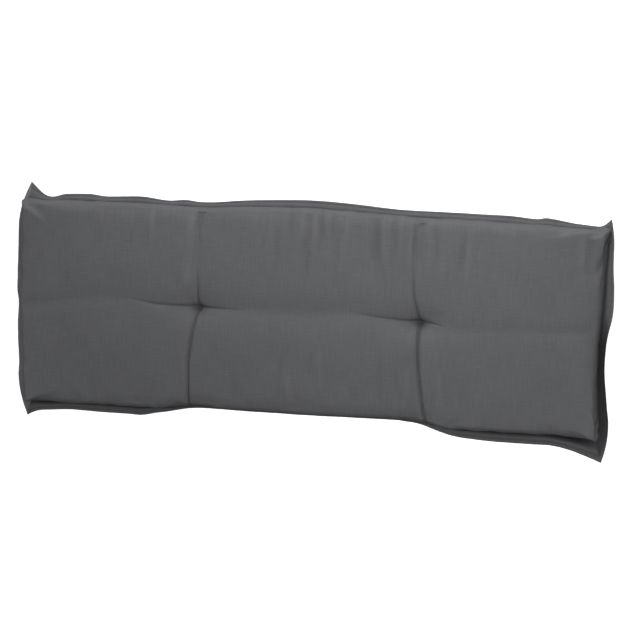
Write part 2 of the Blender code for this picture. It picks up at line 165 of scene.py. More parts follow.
# How soon the dips die out over the rolled edge.
DIP_START = 1.6
DIP_FADE = 1.5

# The flange along each side: how far it reaches out from the seam, how far its
# edge stands above or below the seam, and the height of the crest that it bends
# up to under the roll. Each dip in reach is a pucker or a fold back.
FlangeSection = namedtuple("FlangeSection", "along reach lift crest")
FLANGE_TOP = [
    FlangeSection(-575, 23, -5, 0),
    FlangeSection(-528, 10, -8, 0),
    FlangeSection(-500, 15.5, -5, 0),
    FlangeSection(-448, 17, -4, 0),
    FlangeSection(-414, 13, -7, 0),
    FlangeSection(-340, 16.5, -4, 0),
    FlangeSection(-280, 11, -5, 0),
    FlangeSection(-246, 14, -5, 0),
    FlangeSection(-213, 11, -5, 0),
    FlangeSection(-130, 15, -5, 0),
    FlangeSection(60, 20.5, -4, 0),
    FlangeSection(230, 14, -5, 0),
    FlangeSection(330, 16, -5, 0),
    FlangeSection(400, 18, -4, 0),
    FlangeSection(452, 15, -7, 0),
    FlangeSection(470, 18.5, -5, 0),
    FlangeSection(530, 9, -5, 0),
    FlangeSection(573, 4.5, -4, 0),
]
FLANGE_BOTTOM = [
    FlangeSection(-575, 26, 0, 6),
    FlangeSection(-540, 25, 0, 9),
    FlangeSection(-500, 26, 0, 10),
    FlangeSection(-415, 28, 0, 10),
    FlangeSection(-345, 28, -1, 10),
    FlangeSection(-300, 20, -9, 3),
    FlangeSection(-240, 15, -17, 0),
    FlangeSection(0, 15, -17, 0),
    FlangeSection(215, 15, -17, 0),
    FlangeSection(270, 22, -8, 3),
    FlangeSection(330, 29, 0, 10),
    FlangeSection(465, 32, 0, 11),
    FlangeSection(496, 31, -2, 10),
    FlangeSection(550, 31, -1, 8),
    FlangeSection(575, 33, 0, 5),
]
FLANGE_LEFT = [
    FlangeSection(-200, 31, -3, 4),
    FlangeSection(-160, 29, 0, 5),
    FlangeSection(-120, 26, -3, 5),
    FlangeSection(-60, 26, 1, 5),
    FlangeSection(-2, 24, -4, 5),
    FlangeSection(30, 26, 0, 5),
    FlangeSection(110, 24, 1, 5),
    FlangeSection(165, 21, 0, 5),
    FlangeSection(205, 14, -5, 2),
]
FLANGE_RIGHT = [
    FlangeSection(-200, 25, -8, 0),
    FlangeSection(-150, 17, -24, 0),
    FlangeSection(-60, 14, -27, 0),
    FlangeSection(-30, 15.5, -19, 0),
    FlangeSection(22, 23.5, -2, 0),
    FlangeSection(120, 18, 0, 0),
    FlangeSection(200, 16, 0, 0),
]

# Tips of the four ears, their rise above the seam and how far along the long
# side and the short side they start.
Ear = namedtuple("Ear", "x y lift long_spread end_spread")
EARS = {
    "bottom_left": Ear(-588, -237, -5, 26, 34),
    "bottom_right": Ear(589, -256, -6, 85, 40),
    "top_right": Ear(593, 214, -3, 16, 30),
    "top_left": Ear(-574, 245, -6, 50, 20),
}

# Spacing of the lines of the simulated pad. Each is halved once afterwards.
ROLL_STEPS = 8
COLUMN_STEP = 9.0 * MM
ROW_STEP = 8.5 * MM
FINE_OFFSETS = np.array([1.6, 3.4, 6, 10, 15, 22]) * MM
SEAM_EVENNESS = 0.35
COLUMN_SHIFT_REACH = 70 * MM
ROW_SHIFT_REACH = 90 * MM

# Cloth simulation of the pad.
CLOTH_FRAMES = 20
CLOTH_PRESSURE = 4.0
CLOTH_SLACK = -0.035
CLOTH_CAP = 5 * MM
CLOTH_QUALITY = 6
CLOTH_MASS = 0.25
CLOTH_STRETCH_STIFFNESS = 20
CLOTH_SHEAR_STIFFNESS = 8
CLOTH_BENDING_STIFFNESS = 0.25
BROAD_SHARE = 0.25
BROAD_RADIUS = 5
RESTING_HEIGHT = 0.2 * MM
HELD_AT_TUFT = 9 * MM
CALM_ROUND_TUFT = 70 * MM
CALM_BY_MIDDLE = 16 * MM

# What the finer panel adds to the creases: a sharp line, and for the long ones
# a low ridge beside it.
LINE_DEPTH = 2.4 * MM
LINE_WIDTH = 1.8 * MM
RIDGE_HEIGHT = 1.3 * MM
RIDGE_OFFSET = 9 * MM
RIDGE_WIDTH = 6 * MM

# Crinkles of the front, listed one by one: a soft ridge (or a trough, if the height is
# negative) from one point to another, in millimetres. The strength scales the
# capped height. Each one wanders a little off its straight line.
CRINKLE_STRENGTH = 3.6
CRINKLE_CAP = 0.85
CRINKLE_WANDER = 1.5 * MM
CRINKLE_WANDER_CELL = 22 * MM
CRINKLE_END_FADE = 8 * MM
Crinkle = namedtuple("Crinkle", "x_from y_from x_to y_to height width")
CRINKLES = [
    Crinkle(-304, 214, -304, 133, 1.3, 5),
    Crinkle(-222, 208, -226, 105, 0.9, 9),
    Crinkle(-210, 204, -209, 130, -0.7, 5),
    Crinkle(-232, 105, -228, 46, 0.8, 9),
    Crinkle(-58, 218, -59, 136, 0.5, 5),
    Crinkle(-45, 172, -45, 105, -0.6, 5),
    Crinkle(-18, 219, -17, 161, -0.6, 5),
    Crinkle(1, 226, 2, 148, 0.6, 5),
    Crinkle(15, 226, 15, 71, -0.8, 5),
    Crinkle(27, 221, 30, 128, 0.6, 5),
    Crinkle(41, 227, 42, 136, -0.6, 4),
    Crinkle(55, 228, 56, 152, 0.6, 5),
    Crinkle(65, 215, 66, 149, -0.5, 4),
    Crinkle(75, 176, 76, 107, -0.6, 4),
    Crinkle(90, 219, 92, 142, 0.4, 6),
    Crinkle(114, 211, 116, 120, -0.4, 6),
    Crinkle(151, 214, 153, 103, -1.2, 6),
    Crinkle(163, 226, 167, 111, 0.9, 5),
    Crinkle(174, 123, 179, 65, 0.6, 4),
    Crinkle(184, 213, 186, 123, -0.5, 5),
    Crinkle(198, 220, 199, 137, 0.5, 5),
    Crinkle(218, 182, 219, 113, 0.6, 4),
    Crinkle(225, 228, 227, 106, -0.7, 4),
    Crinkle(234, 229, 236, 164, -0.5, 4),
    Crinkle(254, 214, 256, 119, 0.7, 5),
    Crinkle(266, 203, 270, 119, -0.7, 5),
    Crinkle(282, 150, 284, 89, 0.5, 5),
    Crinkle(322, 194, 318, 91, -0.9, 5),
    Crinkle(332, 172, 330, 80, 0.7, 5),
    Crinkle(-35, -63, -38, -114, -0.5, 4),
    Crinkle(-26, -102, -19, -173, 0.6, 5),
    Crinkle(25, -59, 23, -115, -0.5, 4),
    Crinkle(41, -54, 50, -169, 0.6, 5),
    Crinkle(95, -91, 96, -166, 0.3, 5),
    Crinkle(164, -63, 164, -162, -0.6, 5),
    Crinkle(196, -89, 200, -167, -0.4, 4),
    Crinkle(216, -80, 217, -166, 0.5, 5),
    Crinkle(-134, -108, -132, -168, -0.4, 6),
    Crinkle(278, -84, 284, -177, 0.4, 6),
    Crinkle(545, 214, 547, 90, 0.6, 6),
    Crinkle(562, 189, 558, 140, -0.6, 5),
]

# Uneven filling, small random crinkles and gathers at the seam. The random
# crinkles show most round one place of the upper half and less on the lower.
LUMP_HEIGHT = 1.2 * MM
LUMP_CELL = 85 * MM
FINE_CRINKLE_HEIGHT = 0.8 * MM
FINE_CRINKLE_CELL = (9 * MM, 60 * MM)
FINER_CRINKLE_CELL = (5 * MM, 34 * MM)
FINER_CRINKLE_SHARE = 0.6
CRINKLED_MIDDLE = 130 * MM
CRINKLED_HALF_LENGTH = 190 * MM
CRINKLED_ABOVE = 95 * MM
CRINKLED_BELOW = -75 * MM
CRINKLED_FADE = 16 * MM
CRINKLED_LOWER = 0.4
CRINKLED_ELSEWHERE = 0.25
GATHER_HEIGHT = 0.6 * MM
GATHER_CELL = 24 * MM
GATHER_REACH = 30 * MM
GATHER_CORNER_FADE = 14 * MM

# Across the flange, from the seam to the edge: position and thickness.
FlangeRib = namedtuple("FlangeRib", "across thickness")
FLANGE_RIBS = [
    FlangeRib(0.0, 2.0 * MM),
    FlangeRib(0.05, 1.7 * MM),
    FlangeRib(0.09, 1.5 * MM),
    FlangeRib(0.15, 2.2 * MM),
    FlangeRib(0.27, 2.8 * MM),
    FlangeRib(0.40, 3.0 * MM),
    FlangeRib(0.53, 2.9 * MM),
    FlangeRib(0.64, 2.4 * MM),
    FlangeRib(0.70, 1.7 * MM),
    FlangeRib(0.74, 1.2 * MM),
    FlangeRib(0.78, 1.7 * MM),
    FlangeRib(0.83, 2.4 * MM),
    FlangeRib(0.89, 2.7 * MM),
    FlangeRib(0.95, 2.5 * MM),
    FlangeRib(0.985, 1.7 * MM),
    FlangeRib(1.0, 0.6 * MM),
]
FLANGE_STEP = 4 * MM

# Painted shade in the cloth's colour, in the narrow gap under the rolled edges: how dark,
# and how far out over the flange as a share of its reach. In millimetres along each side.
# A negative shade is painted light, which makes the cloth paler. The groove, edge, crease
# and tuft shades below are painted shade too. CRINKLE_SHADE is per millimetre of a
# crinkle's depth: painted shade in its troughs and painted light on its ridges.
SeamShade = namedtuple("SeamShade", "along shade spread")
SHADE_BOTTOM = [
    SeamShade(-590, 0.1, 0.3),
    SeamShade(-560, 0.75, 0.46),
    SeamShade(-300, 0.75, 0.5),
    SeamShade(-245, 0.45, 0.7),
    SeamShade(215, 0.4, 0.7),
    SeamShade(280, 0.85, 0.46),
    SeamShade(540, 0.85, 0.43),
    SeamShade(585, 0.3, 0.4),
]
SHADE_RIGHT = [
    SeamShade(-215, 0.35, 0.6),
    SeamShade(-170, 0.6, 1.1),
    SeamShade(-20, 0.6, 1.1),
    SeamShade(40, 0.3, 0.5),
    SeamShade(200, 0.0, 0.4),
]
SHADE_TOP = [SeamShade(-590, 0.12, 0.3), SeamShade(590, 0.12, 0.3)]
# The left flange's negative shade is painted light: its cloth is made paler.
PAINTED_LIGHT_LEFT = [SeamShade(-210, -0.45, 1.2), SeamShade(210, -0.45, 1.2)]
SHADE_FADE = 0.12
GROOVE_SHADE = 0.16
EDGE_SHADE = 0.22
CREASE_SHADE = 0.5
CREASE_END_SHADE = 0.75
CREASE_SHADE_WIDTH = 1.7 * MM
TUFT_SHADE = 0.45
TUFT_SHADE_WIDTH = 9 * MM
CRINKLE_SHADE = 0.04
GROOVE_WIDTH = 0.04

# Waves of the flange's edge and the pinches between its stitches.
RUFFLE_HEIGHT = 1.0 * MM
RUFFLE_CELL = 17 * MM
PINCH_DEPTH = 0.35 * MM
PINCH_CELL = 5 * MM

# Thread.
STITCH_LENGTH = 3.0 * MM
STITCH_PITCH = 3.7 * MM
STITCH_RADIUS = 0.32 * MM
STITCH_SIDES = 5
StitchLine = namedtuple("StitchLine", "name across thickness")
STITCH_LINES = [
    StitchLine("edge_stitches", STITCH_INSET, 1.25 * MM),
    StitchLine("seam_stitches", 0.09, 1.55 * MM),
]

# Bar tacks in the tufts: strands of thread that arch over a few millimetres.
TACK_STRANDS = 4
TACK_SPACING = 0.75 * MM
TACK_HALF_LENGTH = 5.5 * MM
TACK_UNEVENNESS = 0.5 * MM
TACK_SLANT = 0.3 * MM
TACK_RADIUS = 0.42 * MM
TACK_HEIGHT = 1.5 * MM
TACK_ARCH = 1.2 * MM
TACK_STEPS = 12
TACK_SIDES = 6

# Colours, as linear reflectances.
CLOTH_GREY = (0.088, 0.089, 0.093)
THREAD_GREY = (0.060, 0.061, 0.064)

# The weave, per metre of cloth: thin stretched marks of thicker yarns each way,
# speckles and slow cloudiness, and how far they lighten or darken the colour.
YARN_PITCH = 0.9 * MM
YARN_WOBBLE = 260.0
WEFT_SLUBS = (30, 700)
WARP_SLUBS = (620, 24)
SPECKLES = 900.0
CLOUDS = 16.0
CLOUD_SHARE = 0.35
TINT_RANGE = (0.8, 1.2)
TINT_FROM = (1.0, 2.05)
ROUGHNESS_RANGE = (0.84, 1.0)
WEAVE_STRENGTH = 0.35
WEAVE_DEPTH = 0.25 * MM
FLOOR_GREY = (0.93, 0.93, 0.93)

# Camera, solved from the four face corners.
CAMERA_YAW = math.radians(14)
CAMERA_PITCH = math.radians(9)
CAMERA_ROLL = math.radians(0.78)
CAMERA_DISTANCE = 3.70
CAMERA_FOCAL_PIXELS = 1895
CAMERA_TARGET = Vector((0.0386, 0.0024, 0.055))
PHOTO_WIDTH = 640
SENSOR_WIDTH = 36.0


def curve_through(xs, ys, at):
    """Smooth curve through the points, flat at each high and low point."""
    xs = np.asarray(xs, float)
    ys = np.asarray(ys, float)
    at = np.clip(at, xs[0], xs[-1])
    steps = np.diff(xs)
    slopes = np.diff(ys) / steps
    same_way = slopes[:-1] * slopes[1:] > 0
    safe = np.where(same_way, slopes[:-1] + slopes[1:], 1.0)
    inner = np.where(same_way, 2 * slopes[:-1] * slopes[1:] / safe, 0.0)
    tangents = np.concatenate([[slopes[0]], inner, [slopes[-1]]])
    left = np.clip(np.searchsorted(xs, at, side="right") - 1, 0, len(steps) - 1)
    h = steps[left]
    t = (at - xs[left]) / h
    return (
        (2 * t**3 - 3 * t**2 + 1) * ys[left]
        + (t**3 - 2 * t**2 + t) * h * tangents[left]
        + (3 * t**2 - 2 * t**3) * ys[left + 1]
        + (t**3 - t**2) * h * tangents[left + 1]
    )


def column(table, name, at, unit=MM):
    """One named column of a table in millimetres, read at a place in metres."""
    xs = [row[0] * MM for row in table]
    ys = [getattr(row, name) * unit for row in table]
    return curve_through(xs, ys, at)


def soft_noise(x, y, cell_x, cell_y, seed):
    """Smooth random heights from -1 to 1, with bumps of about one cell."""
    columns, rows = 61, 67
    table = np.random.default_rng(seed).uniform(-1, 1, (columns, rows))
    u = np.asarray(x) / cell_x + 1000.37
    v = np.asarray(y) / cell_y + 1000.81
    iu = np.floor(u).astype(int)
    iv = np.floor(v).astype(int)
    fu = u - iu
    fv = v - iv
    fu = fu * fu * (3 - 2 * fu)
    fv = fv * fv * (3 - 2 * fv)
    a = table[iu % columns, iv % rows]
    b = table[(iu + 1) % columns, iv % rows]
    c = table[iu % columns, (iv + 1) % rows]
    d = table[(iu + 1) % columns, (iv + 1) % rows]
    return (a * (1 - fu) + b * fu) * (1 - fv) + (c * (1 - fu) + d * fu) * fv


def stations(low, high, centres, step):
    """Places from low to high, close together round the centres."""
    places = {low, high}
    for centre in centres:
        places.add(centre)
        for offset in FINE_OFFSETS:
            places.add(centre - offset)
            places.add(centre + offset)
    places = sorted(places)
    result = []
    for start, end in zip(places[:-1], places[1:]):
        count = max(1, round((end - start) / step))
        result.extend(np.linspace(start, end, count, endpoint=False))
    return np.array(result + [high])


class Lines:
    """The mesh lines of a panel in one direction, from one seam to the other.

    nominal and share place the lines over the pad, seam_share places their
    ends on the seam. rise is the share of the full height at each line. tuck
    is 1 at the seam and 0 from the widest line inward, at each of the ends.
    """

    def __init__(self, low, high, centres, step, undercut):
        angles = np.linspace(-undercut, np.pi / 2, ROLL_STEPS + 1)[:-1]
        inward = ROLL_WIDTH * (1 - np.cos(angles))
        full_tuck = ROLL_WIDTH * (1 - np.cos(undercut))
        rise = (np.sin(angles) + np.sin(undercut)) / (1 + np.sin(undercut))
        inner = stations(low + ROLL_WIDTH, high - ROLL_WIDTH, centres, step)
        ones = np.ones(len(inner))
        zeros = np.zeros(len(inner))
        below = angles < 0
        over = np.where(below, 0.0, inward)
        tuck = np.where(below, inward / full_tuck, 0.0)
        self.nominal = np.concatenate([low + over, inner, (high - over)[::-1]])
        self.tuck_low = np.concatenate([tuck, zeros, np.zeros(len(tuck))])
        self.tuck_high = self.tuck_low[::-1]
        self.rise = np.concatenate([rise, ones, rise[::-1]])
        self.share = (self.nominal - low) / (high - low)
        even = np.linspace(0, 1, len(self.share))
        self.seam_share = self.share + SEAM_EVENNESS * (even - self.share)


def panel_lines(undercut):
    """Mesh lines along and across one panel."""
    long_ends = (END_SECTIONS[0].left * MM, END_SECTIONS[0].right * MM)
    short_ends = (LONG_SECTIONS[0].bottom * MM, LONG_SECTIONS[0].top * MM)
    tuft_columns = [tuft.x * MM for tuft in TUFTS]
    along = Lines(*long_ends, tuft_columns, COLUMN_STEP, undercut)
    across = Lines(*short_ends, [0.0], ROW_STEP, undercut)
    return along, across


def middle_row(x):
    """Where the middle line lies at each x, as y."""
    xs, ys = np.array(MIDDLE_ROW).T * MM
    return curve_through(xs, ys, x)


def crease_path(crease, y):
    """Where a crease lies at each y, as x."""
    tuft = TUFTS[crease.tuft]
    ends = [(tuft.y, tuft.x), (crease.via_y, crease.via_x), (crease.to_y, crease.to_x)]
    ys, xs = np.array(sorted(ends)).T * MM
    return curve_through(ys, xs, y)


def column_shift(x, y):
    """Moves the mesh columns near a tuft onto its creases."""
    shift = np.zeros_like(x)
    for crease in CREASES:
        tuft = TUFTS[crease.tuft]
        near = np.exp(-(((x - tuft.x * MM) / COLUMN_SHIFT_REACH) ** 2))
        on_its_side = np.sign(y - tuft.y * MM) == np.sign(crease.to_y - tuft.y)
        shift += np.where(on_its_side, near * (crease_path(crease, y) - tuft.x * MM), 0.0)
    return shift


def row_shift(x, y):
    """Moves the middle mesh rows onto the middle line."""
    return middle_row(x) * np.exp(-((y / ROW_SHIFT_REACH) ** 2))


def base_grid(along, across, bulge):
    """Plan of a panel and the share of its full height at each point.

    bulge is the share of the tables' tuck that the panel's roll stands out.
    """
    x, y = np.meshgrid(along.nominal, across.nominal, indexing="ij")
    rise_x, rise_y = np.meshgrid(along.rise, across.rise, indexing="ij")
    seam_left = column(END_SECTIONS, "left", y) + column(END_SECTIONS, "left_tuck", y)
    seam_right = column(END_SECTIONS, "right", y) - column(END_SECTIONS, "right_tuck", y)
    seam_top = column(LONG_SECTIONS, "top", x) - column(LONG_SECTIONS, "top_tuck", x)
    seam_bottom = column(LONG_SECTIONS, "bottom", x) + column(LONG_SECTIONS, "bottom_tuck", x)
    left = seam_left - bulge * column(END_SECTIONS, "left_tuck", y)
    right = seam_right + bulge * column(END_SECTIONS, "right_tuck", y)
    top = seam_top + bulge * column(LONG_SECTIONS, "top_tuck", x)
    bottom = seam_bottom - bulge * column(LONG_SECTIONS, "bottom_tuck", x)
    over_x = left + (right - left) * along.share[:, None]
    over_x = over_x + along.tuck_low[:, None] * (seam_left - left)
    over_x = over_x + along.tuck_high[:, None] * (seam_right - right)
    over_y = bottom + (top - bottom) * across.share[None, :]
    over_y = over_y + across.tuck_low[None, :] * (seam_bottom - bottom)
    over_y = over_y + across.tuck_high[None, :] * (seam_top - top)
    flat_x = seam_left + (seam_right - seam_left) * along.seam_share[:, None]
    flat_y = seam_bottom + (seam_top - seam_bottom) * across.seam_share[None, :]
    ease_x = 1 - (1 - rise_x) ** 2
    ease_y = 1 - (1 - rise_y) ** 2
    plan_x = flat_x + (over_x - flat_x) * ease_y
    plan_y = flat_y + (over_y - flat_y) * ease_x
    plan_y = plan_y + row_shift(plan_x, plan_y)
    plan_x = plan_x + column_shift(plan_x, plan_y) * ease_y
    height = rise_x * rise_y * (1 + CORNER_FULLNESS * (1 - rise_x) * (1 - rise_y))
    return plan_x, plan_y, height


def crown(x, y):
    """Swell of the front from the rolled edges to the middle, 0 to 1."""
    from_middle = np.clip(np.abs(y - CROWN_MIDDLE) / CROWN_HALF_WIDTH, 0, 1)
    from_centre = np.clip(np.abs(x) / CROWN_HALF_LENGTH, 0, 1)
    across = 1 - from_middle**CROWN_SQUARENESS_ACROSS
    along = 1 - from_centre**CROWN_SQUARENESS_ALONG
    return across * along


def from_tuft(points, tuft):
    """Distance in plan of each grid point from a tuft."""
    return np.hypot(points[:, :, 0] - tuft.x * MM, points[:, :, 1] - tuft.y * MM)


def tuft_pits(x, y, depth_name, spread_name):
    """Funnel-shaped dips of the tufts."""
    total = np.zeros_like(x)
    for tuft in TUFTS:
        dx = (x - tuft.x * MM) / PIT_STRETCH
        dy = y - tuft.y * MM
        distance = np.sqrt(dx**2 + dy**2 + PIT_ROUNDNESS**2) - PIT_ROUNDNESS
        spread = getattr(tuft, spread_name) * MM
        total += getattr(tuft, depth_name) * MM * np.exp(-distance / spread)
    return total


def crease_frames(x, y):
    """For each crease: distance off its line, share of the way along it, how
    much of it is left past its ends, its row and its depth at the end."""
    rows = [(crease, x - crease_path(crease, y), y, "y") for crease in CREASES]
    rows += [(crease, y - middle_row(x), x, "x") for crease in SIDE_CREASES]
    for crease, off_line, place, axis in rows:
        start = getattr(TUFTS[crease.tuft], axis)
        end = getattr(crease, "to_" + axis)
        along = (place - start * MM) * np.sign(end - start)
        length = abs(end - start) * MM
        inside = np.clip(along / length, 0, 1)
        past = np.exp(-np.abs(along - inside * length) / CREASE_END_FADE)
        yield off_line, inside, past, crease, getattr(crease, "end_depth", 0.0)


def crease_dips(x, y):
    """The deepest of the narrow dips that run out from the tufts."""
    deepest = np.zeros_like(x)
    for off_line, inside, past, crease, end_depth in crease_frames(x, y):
        deep = (crease.depth + (end_depth - crease.depth) * inside**CREASE_TAPER) * MM
        dip = deep * np.exp(-np.abs(off_line) / (crease.width * MM)) * past
        deepest = np.maximum(deepest, dip)
    return deepest


def troughs(x, y):
    """Wide soft troughs along the tufts' columns and between the tufts."""
    total = np.zeros_like(x)
    for tuft in TUFTS:
        total += TROUGH_DEPTH * np.exp(-(((x - tuft.x * MM) / TROUGH_WIDTH) ** 2))
    start = TUFTS[0].x * MM - BAND_FADE
    end = TUFTS[1].x * MM + BAND_FADE
    softness = BAND_FADE / 3
    inside = 1 / (1 + np.exp((start - x) / softness)) / (1 + np.exp((x - end) / softness))
    return total + BAND_DEPTH * inside * np.exp(-(((y - middle_row(x)) / BAND_WIDTH) ** 2))


def normals_of(points):
    """Unit normals of a grid of points, on the side of its X cross Y."""
    along = np.gradient(points, axis=0)
    across = np.gradient(points, axis=1)
    normal = np.cross(along, across)
    return normal / np.linalg.norm(normal, axis=2, keepdims=True)


def front_panel():
    """Grid of points of the front panel, and the share of its full height."""
    along, across = panel_lines(UNDERCUT_FRONT)
    x, y, height = base_grid(along, across, 1.0)
    z = SEAM_HEIGHT + RIM_HEIGHT / 2 + FRONT_RISE * height + CROWN_RISE * crown(x, y) * height**3
    points = np.stack([x, y, z], axis=2)
    pressed = tuft_pits(x, y, "depth", "spread") + crease_dips(x, y) + troughs(x, y)
    pressed = pressed * np.clip(DIP_START * height, 0, 1) ** DIP_FADE
    return points - normals_of(points) * pressed[:, :, None], height


def back_panel():
    """Grid of points of the back panel, and the share of its full height."""
    along, across = panel_lines(UNDERCUT_BACK)
    x, y, height = base_grid(along, across, BACK_BULGE)
    lift = tuft_pits(x, y, "back_depth", "back_spread") * np.clip(height, 0, 1)
    z = SEAM_HEIGHT - RIM_HEIGHT / 2 - BACK_DROP * height + lift
    return np.stack([x, y, np.clip(z, 0.0, None)], axis=2), height


def border(columns, rows):
    """Grid indices round the border, counter-clockwise from above."""
    bottom = [(i, 0) for i in range(columns - 1)]
    right = [(columns - 1, j) for j in range(rows - 1)]
    top = [(i, rows - 1) for i in range(columns - 1, 0, -1)]
    left = [(0, j) for j in range(rows - 1, 0, -1)]
    return bottom + right + top + left


def linked_mesh(name, vertices, faces):
    """Mesh object in the scene, smooth all over."""
    mesh = bpy.data.meshes.new(name)
    mesh.from_pydata(np.asarray(vertices, float).tolist(), [], faces)
    mesh.shade_smooth()
    made = bpy.data.objects.new(name, mesh)
    bpy.context.scene.collection.objects.link(made)
    return made


def pad_faces(columns, rows):
    """Faces of the closed pad: front grid, back grid and the rim between."""
    count = columns * rows
    faces = []
    for i in range(columns - 1):
        for j in range(rows - 1):
            a = i * rows + j
            b = a + rows
            faces.append((a, b, b + 1, a + 1))
            faces.append((count + a, count + a + 1, count + b + 1, count + b))
    loop = [i * rows + j for i, j in border(columns, rows)]
    for a, b in zip(loop, loop[1:] + loop[:1]):
        faces.append((b, a, count + a, count + b))
    return faces


def box_blur(field, radius):
    """Mean over a square window of grid points, edges repeated."""
    for axis in (0, 1):
        pad = [(0, 0)] * field.ndim
        pad[axis] = (radius + 1, radius)
        total = np.cumsum(np.pad(field, pad, mode="edge"), axis=axis)
        low = [slice(None)] * field.ndim
        high = [slice(None)] * field.ndim
        low[axis] = slice(0, field.shape[axis])
        high[axis] = slice(2 * radius + 1, field.shape[axis] + 2 * radius + 1)
        field = (total[tuple(high)] - total[tuple(low)]) / (2 * radius + 1)
    return field


def held_weights(front, back):
    """Where the simulation holds the pad: seam, tufts and resting face."""
    weights = []
    for panel in (front, back):
        held = np.zeros(panel.shape[:2])
        held[[0, -1], :] = 1
        held[:, [0, -1]] = 1
        for tuft in TUFTS:
            held = np.maximum(held, from_tuft(panel, tuft) < HELD_AT_TUFT)
        weights.append(held)
    weights[1] = np.maximum(weights[1], back[:, :, 2] < RESTING_HEIGHT)
    return weights


def simulate(front, back):
    """Lets the filled pad swell under pressure; returns how its points moved."""
    columns, rows = front.shape[:2]
    points = np.concatenate([front.reshape(-1, 3), back.reshape(-1, 3)])
    held = np.concatenate([w.ravel() for w in held_weights(front, back)])
    pad = linked_mesh("cloth_run", points, pad_faces(columns, rows))
    group = pad.vertex_groups.new(name="held")
    group.add([int(k) for k in np.flatnonzero(held)], 1.0, "REPLACE")
    cloth = pad.modifiers.new("Cloth", "CLOTH")
    settings = cloth.settings
    settings.quality = CLOTH_QUALITY
    settings.mass = CLOTH_MASS
    settings.tension_stiffness = CLOTH_STRETCH_STIFFNESS
    settings.compression_stiffness = CLOTH_STRETCH_STIFFNESS
    settings.shear_stiffness = CLOTH_SHEAR_STIFFNESS
    settings.bending_stiffness = CLOTH_BENDING_STIFFNESS
    settings.use_pressure = True
    settings.uniform_pressure_force = CLOTH_PRESSURE
    settings.shrink_min = CLOTH_SLACK
    settings.vertex_group_mass = "held"
    settings.effector_weights.gravity = 0.0
    cloth.point_cache.frame_start = 1
    cloth.point_cache.frame_end = CLOTH_FRAMES
    for number in range(1, CLOTH_FRAMES + 1):
        bpy.context.scene.frame_set(number)
    evaluated = pad.evaluated_get(bpy.context.evaluated_depsgraph_get())
    moved = np.zeros(len(points) * 3, np.float32)
    evaluated.data.vertices.foreach_get("co", moved)
    bpy.data.objects.remove(pad, do_unlink=True)
    bpy.context.scene.frame_set(1)
    return (moved.reshape(-1, 3) - points).reshape(2, columns, rows, 3)


def capped(moves, panel):
    """Keeps the wrinkles of a simulated move and part of its broad swelling."""
    length = np.linalg.norm(moves, axis=2, keepdims=True)
    moves = moves * np.minimum(1, CLOTH_CAP / np.maximum(length, 1e-9))
    broad = box_blur(box_blur(moves, BROAD_RADIUS), BROAD_RADIUS)
    kept = moves - (1 - BROAD_SHARE) * broad
    calm = np.ones(panel.shape[:2])
    for tuft in TUFTS:
        calm = calm * (1 - np.exp(-((from_tuft(panel, tuft) / CALM_ROUND_TUFT) ** 2)))
    off_middle = panel[:, :, 1] - middle_row(panel[:, :, 0])
    calm = calm * (1 - np.exp(-((off_middle / CALM_BY_MIDDLE) ** 2)))
    return kept * calm[:, :, None]


def halved(field, axis):
    """Adds a line between each two lines of a grid, on a smooth curve."""
    field = np.moveaxis(field, axis, 0)
    before = np.concatenate([2 * field[:1] - field[1:2], field[:-2]])
    after = np.concatenate([field[2:], 2 * field[-1:] - field[-2:-1]])
    middle = (9 * (field[:-1] + field[1:]) - before - after) / 16
    result = np.empty((2 * len(field) - 1,) + field.shape[1:])
    result[0::2] = field
    result[1::2] = middle
    return np.moveaxis(result, 0, axis)


def finer(field):
    """A grid with its lines halved both ways."""
    return halved(halved(field, 0), 1)


def sharp_lines(x, y):
    """Sharp lines in the creases and the low ridge beside the long ones."""
    total = np.zeros_like(x)
    for off_line, inside, past, _, end_depth in crease_frames(x, y):
        fade = 1 - 0.3 * inside if end_depth > 0 else 1 - inside**2
        total -= LINE_DEPTH * fade * past * np.exp(-np.abs(off_line) / LINE_WIDTH)
        if end_depth > 0:
            beside = np.exp(-(((off_line + RIDGE_OFFSET) / RIDGE_WIDTH) ** 2))
            total += RIDGE_HEIGHT * past * np.clip(inside * 4, 0, 1) * beside
    return total


def crease_shade(x, y):
    """Painted shade in the bottoms of the creases and tufts, 0 to 1."""
    shade = np.zeros_like(x)
    for off_line, inside, past, _, end_depth in crease_frames(x, y):
        end = CREASE_END_SHADE if end_depth > 0 else 0.0
        deep = 1 + (end - 1) * inside
        line = np.exp(-((off_line / CREASE_SHADE_WIDTH) ** 2))
        shade = np.maximum(shade, CREASE_SHADE * deep * past * line)
    for tuft in TUFTS:
        away = np.hypot((x - tuft.x * MM) / PIT_STRETCH, y - tuft.y * MM)
        shade = np.maximum(shade, TUFT_SHADE * np.exp(-((away / TUFT_SHADE_WIDTH) ** 2)))
    return shade


def crinkles(x, y):
    """The listed crinkles."""
    total = np.zeros_like(x)
    for row in CRINKLES:
        start = np.array([row.x_from, row.y_from]) * MM
        run = np.array([row.x_to, row.y_to]) * MM - start
        length = np.hypot(*run)
        run = run / length
        along = (x - start[0]) * run[0] + (y - start[1]) * run[1]
        off_line = (x - start[0]) * run[1] - (y - start[1]) * run[0]
        wander = soft_noise(along, row.x_from * MM, CRINKLE_WANDER_CELL, 1, 31)
        off_line = off_line + CRINKLE_WANDER * wander
        inside = np.clip(along / length, 0, 1)
        past = np.exp(-np.abs(along - inside * length) / CRINKLE_END_FADE)
        fade = np.sin(np.pi * np.clip(inside, 0.04, 0.96)) ** 0.6 * past
        height = CRINKLE_STRENGTH * np.clip(row.height, -CRINKLE_CAP, CRINKLE_CAP) * MM
        total += height * fade * np.exp(-((off_line / (row.width * MM)) ** 2))
    return total


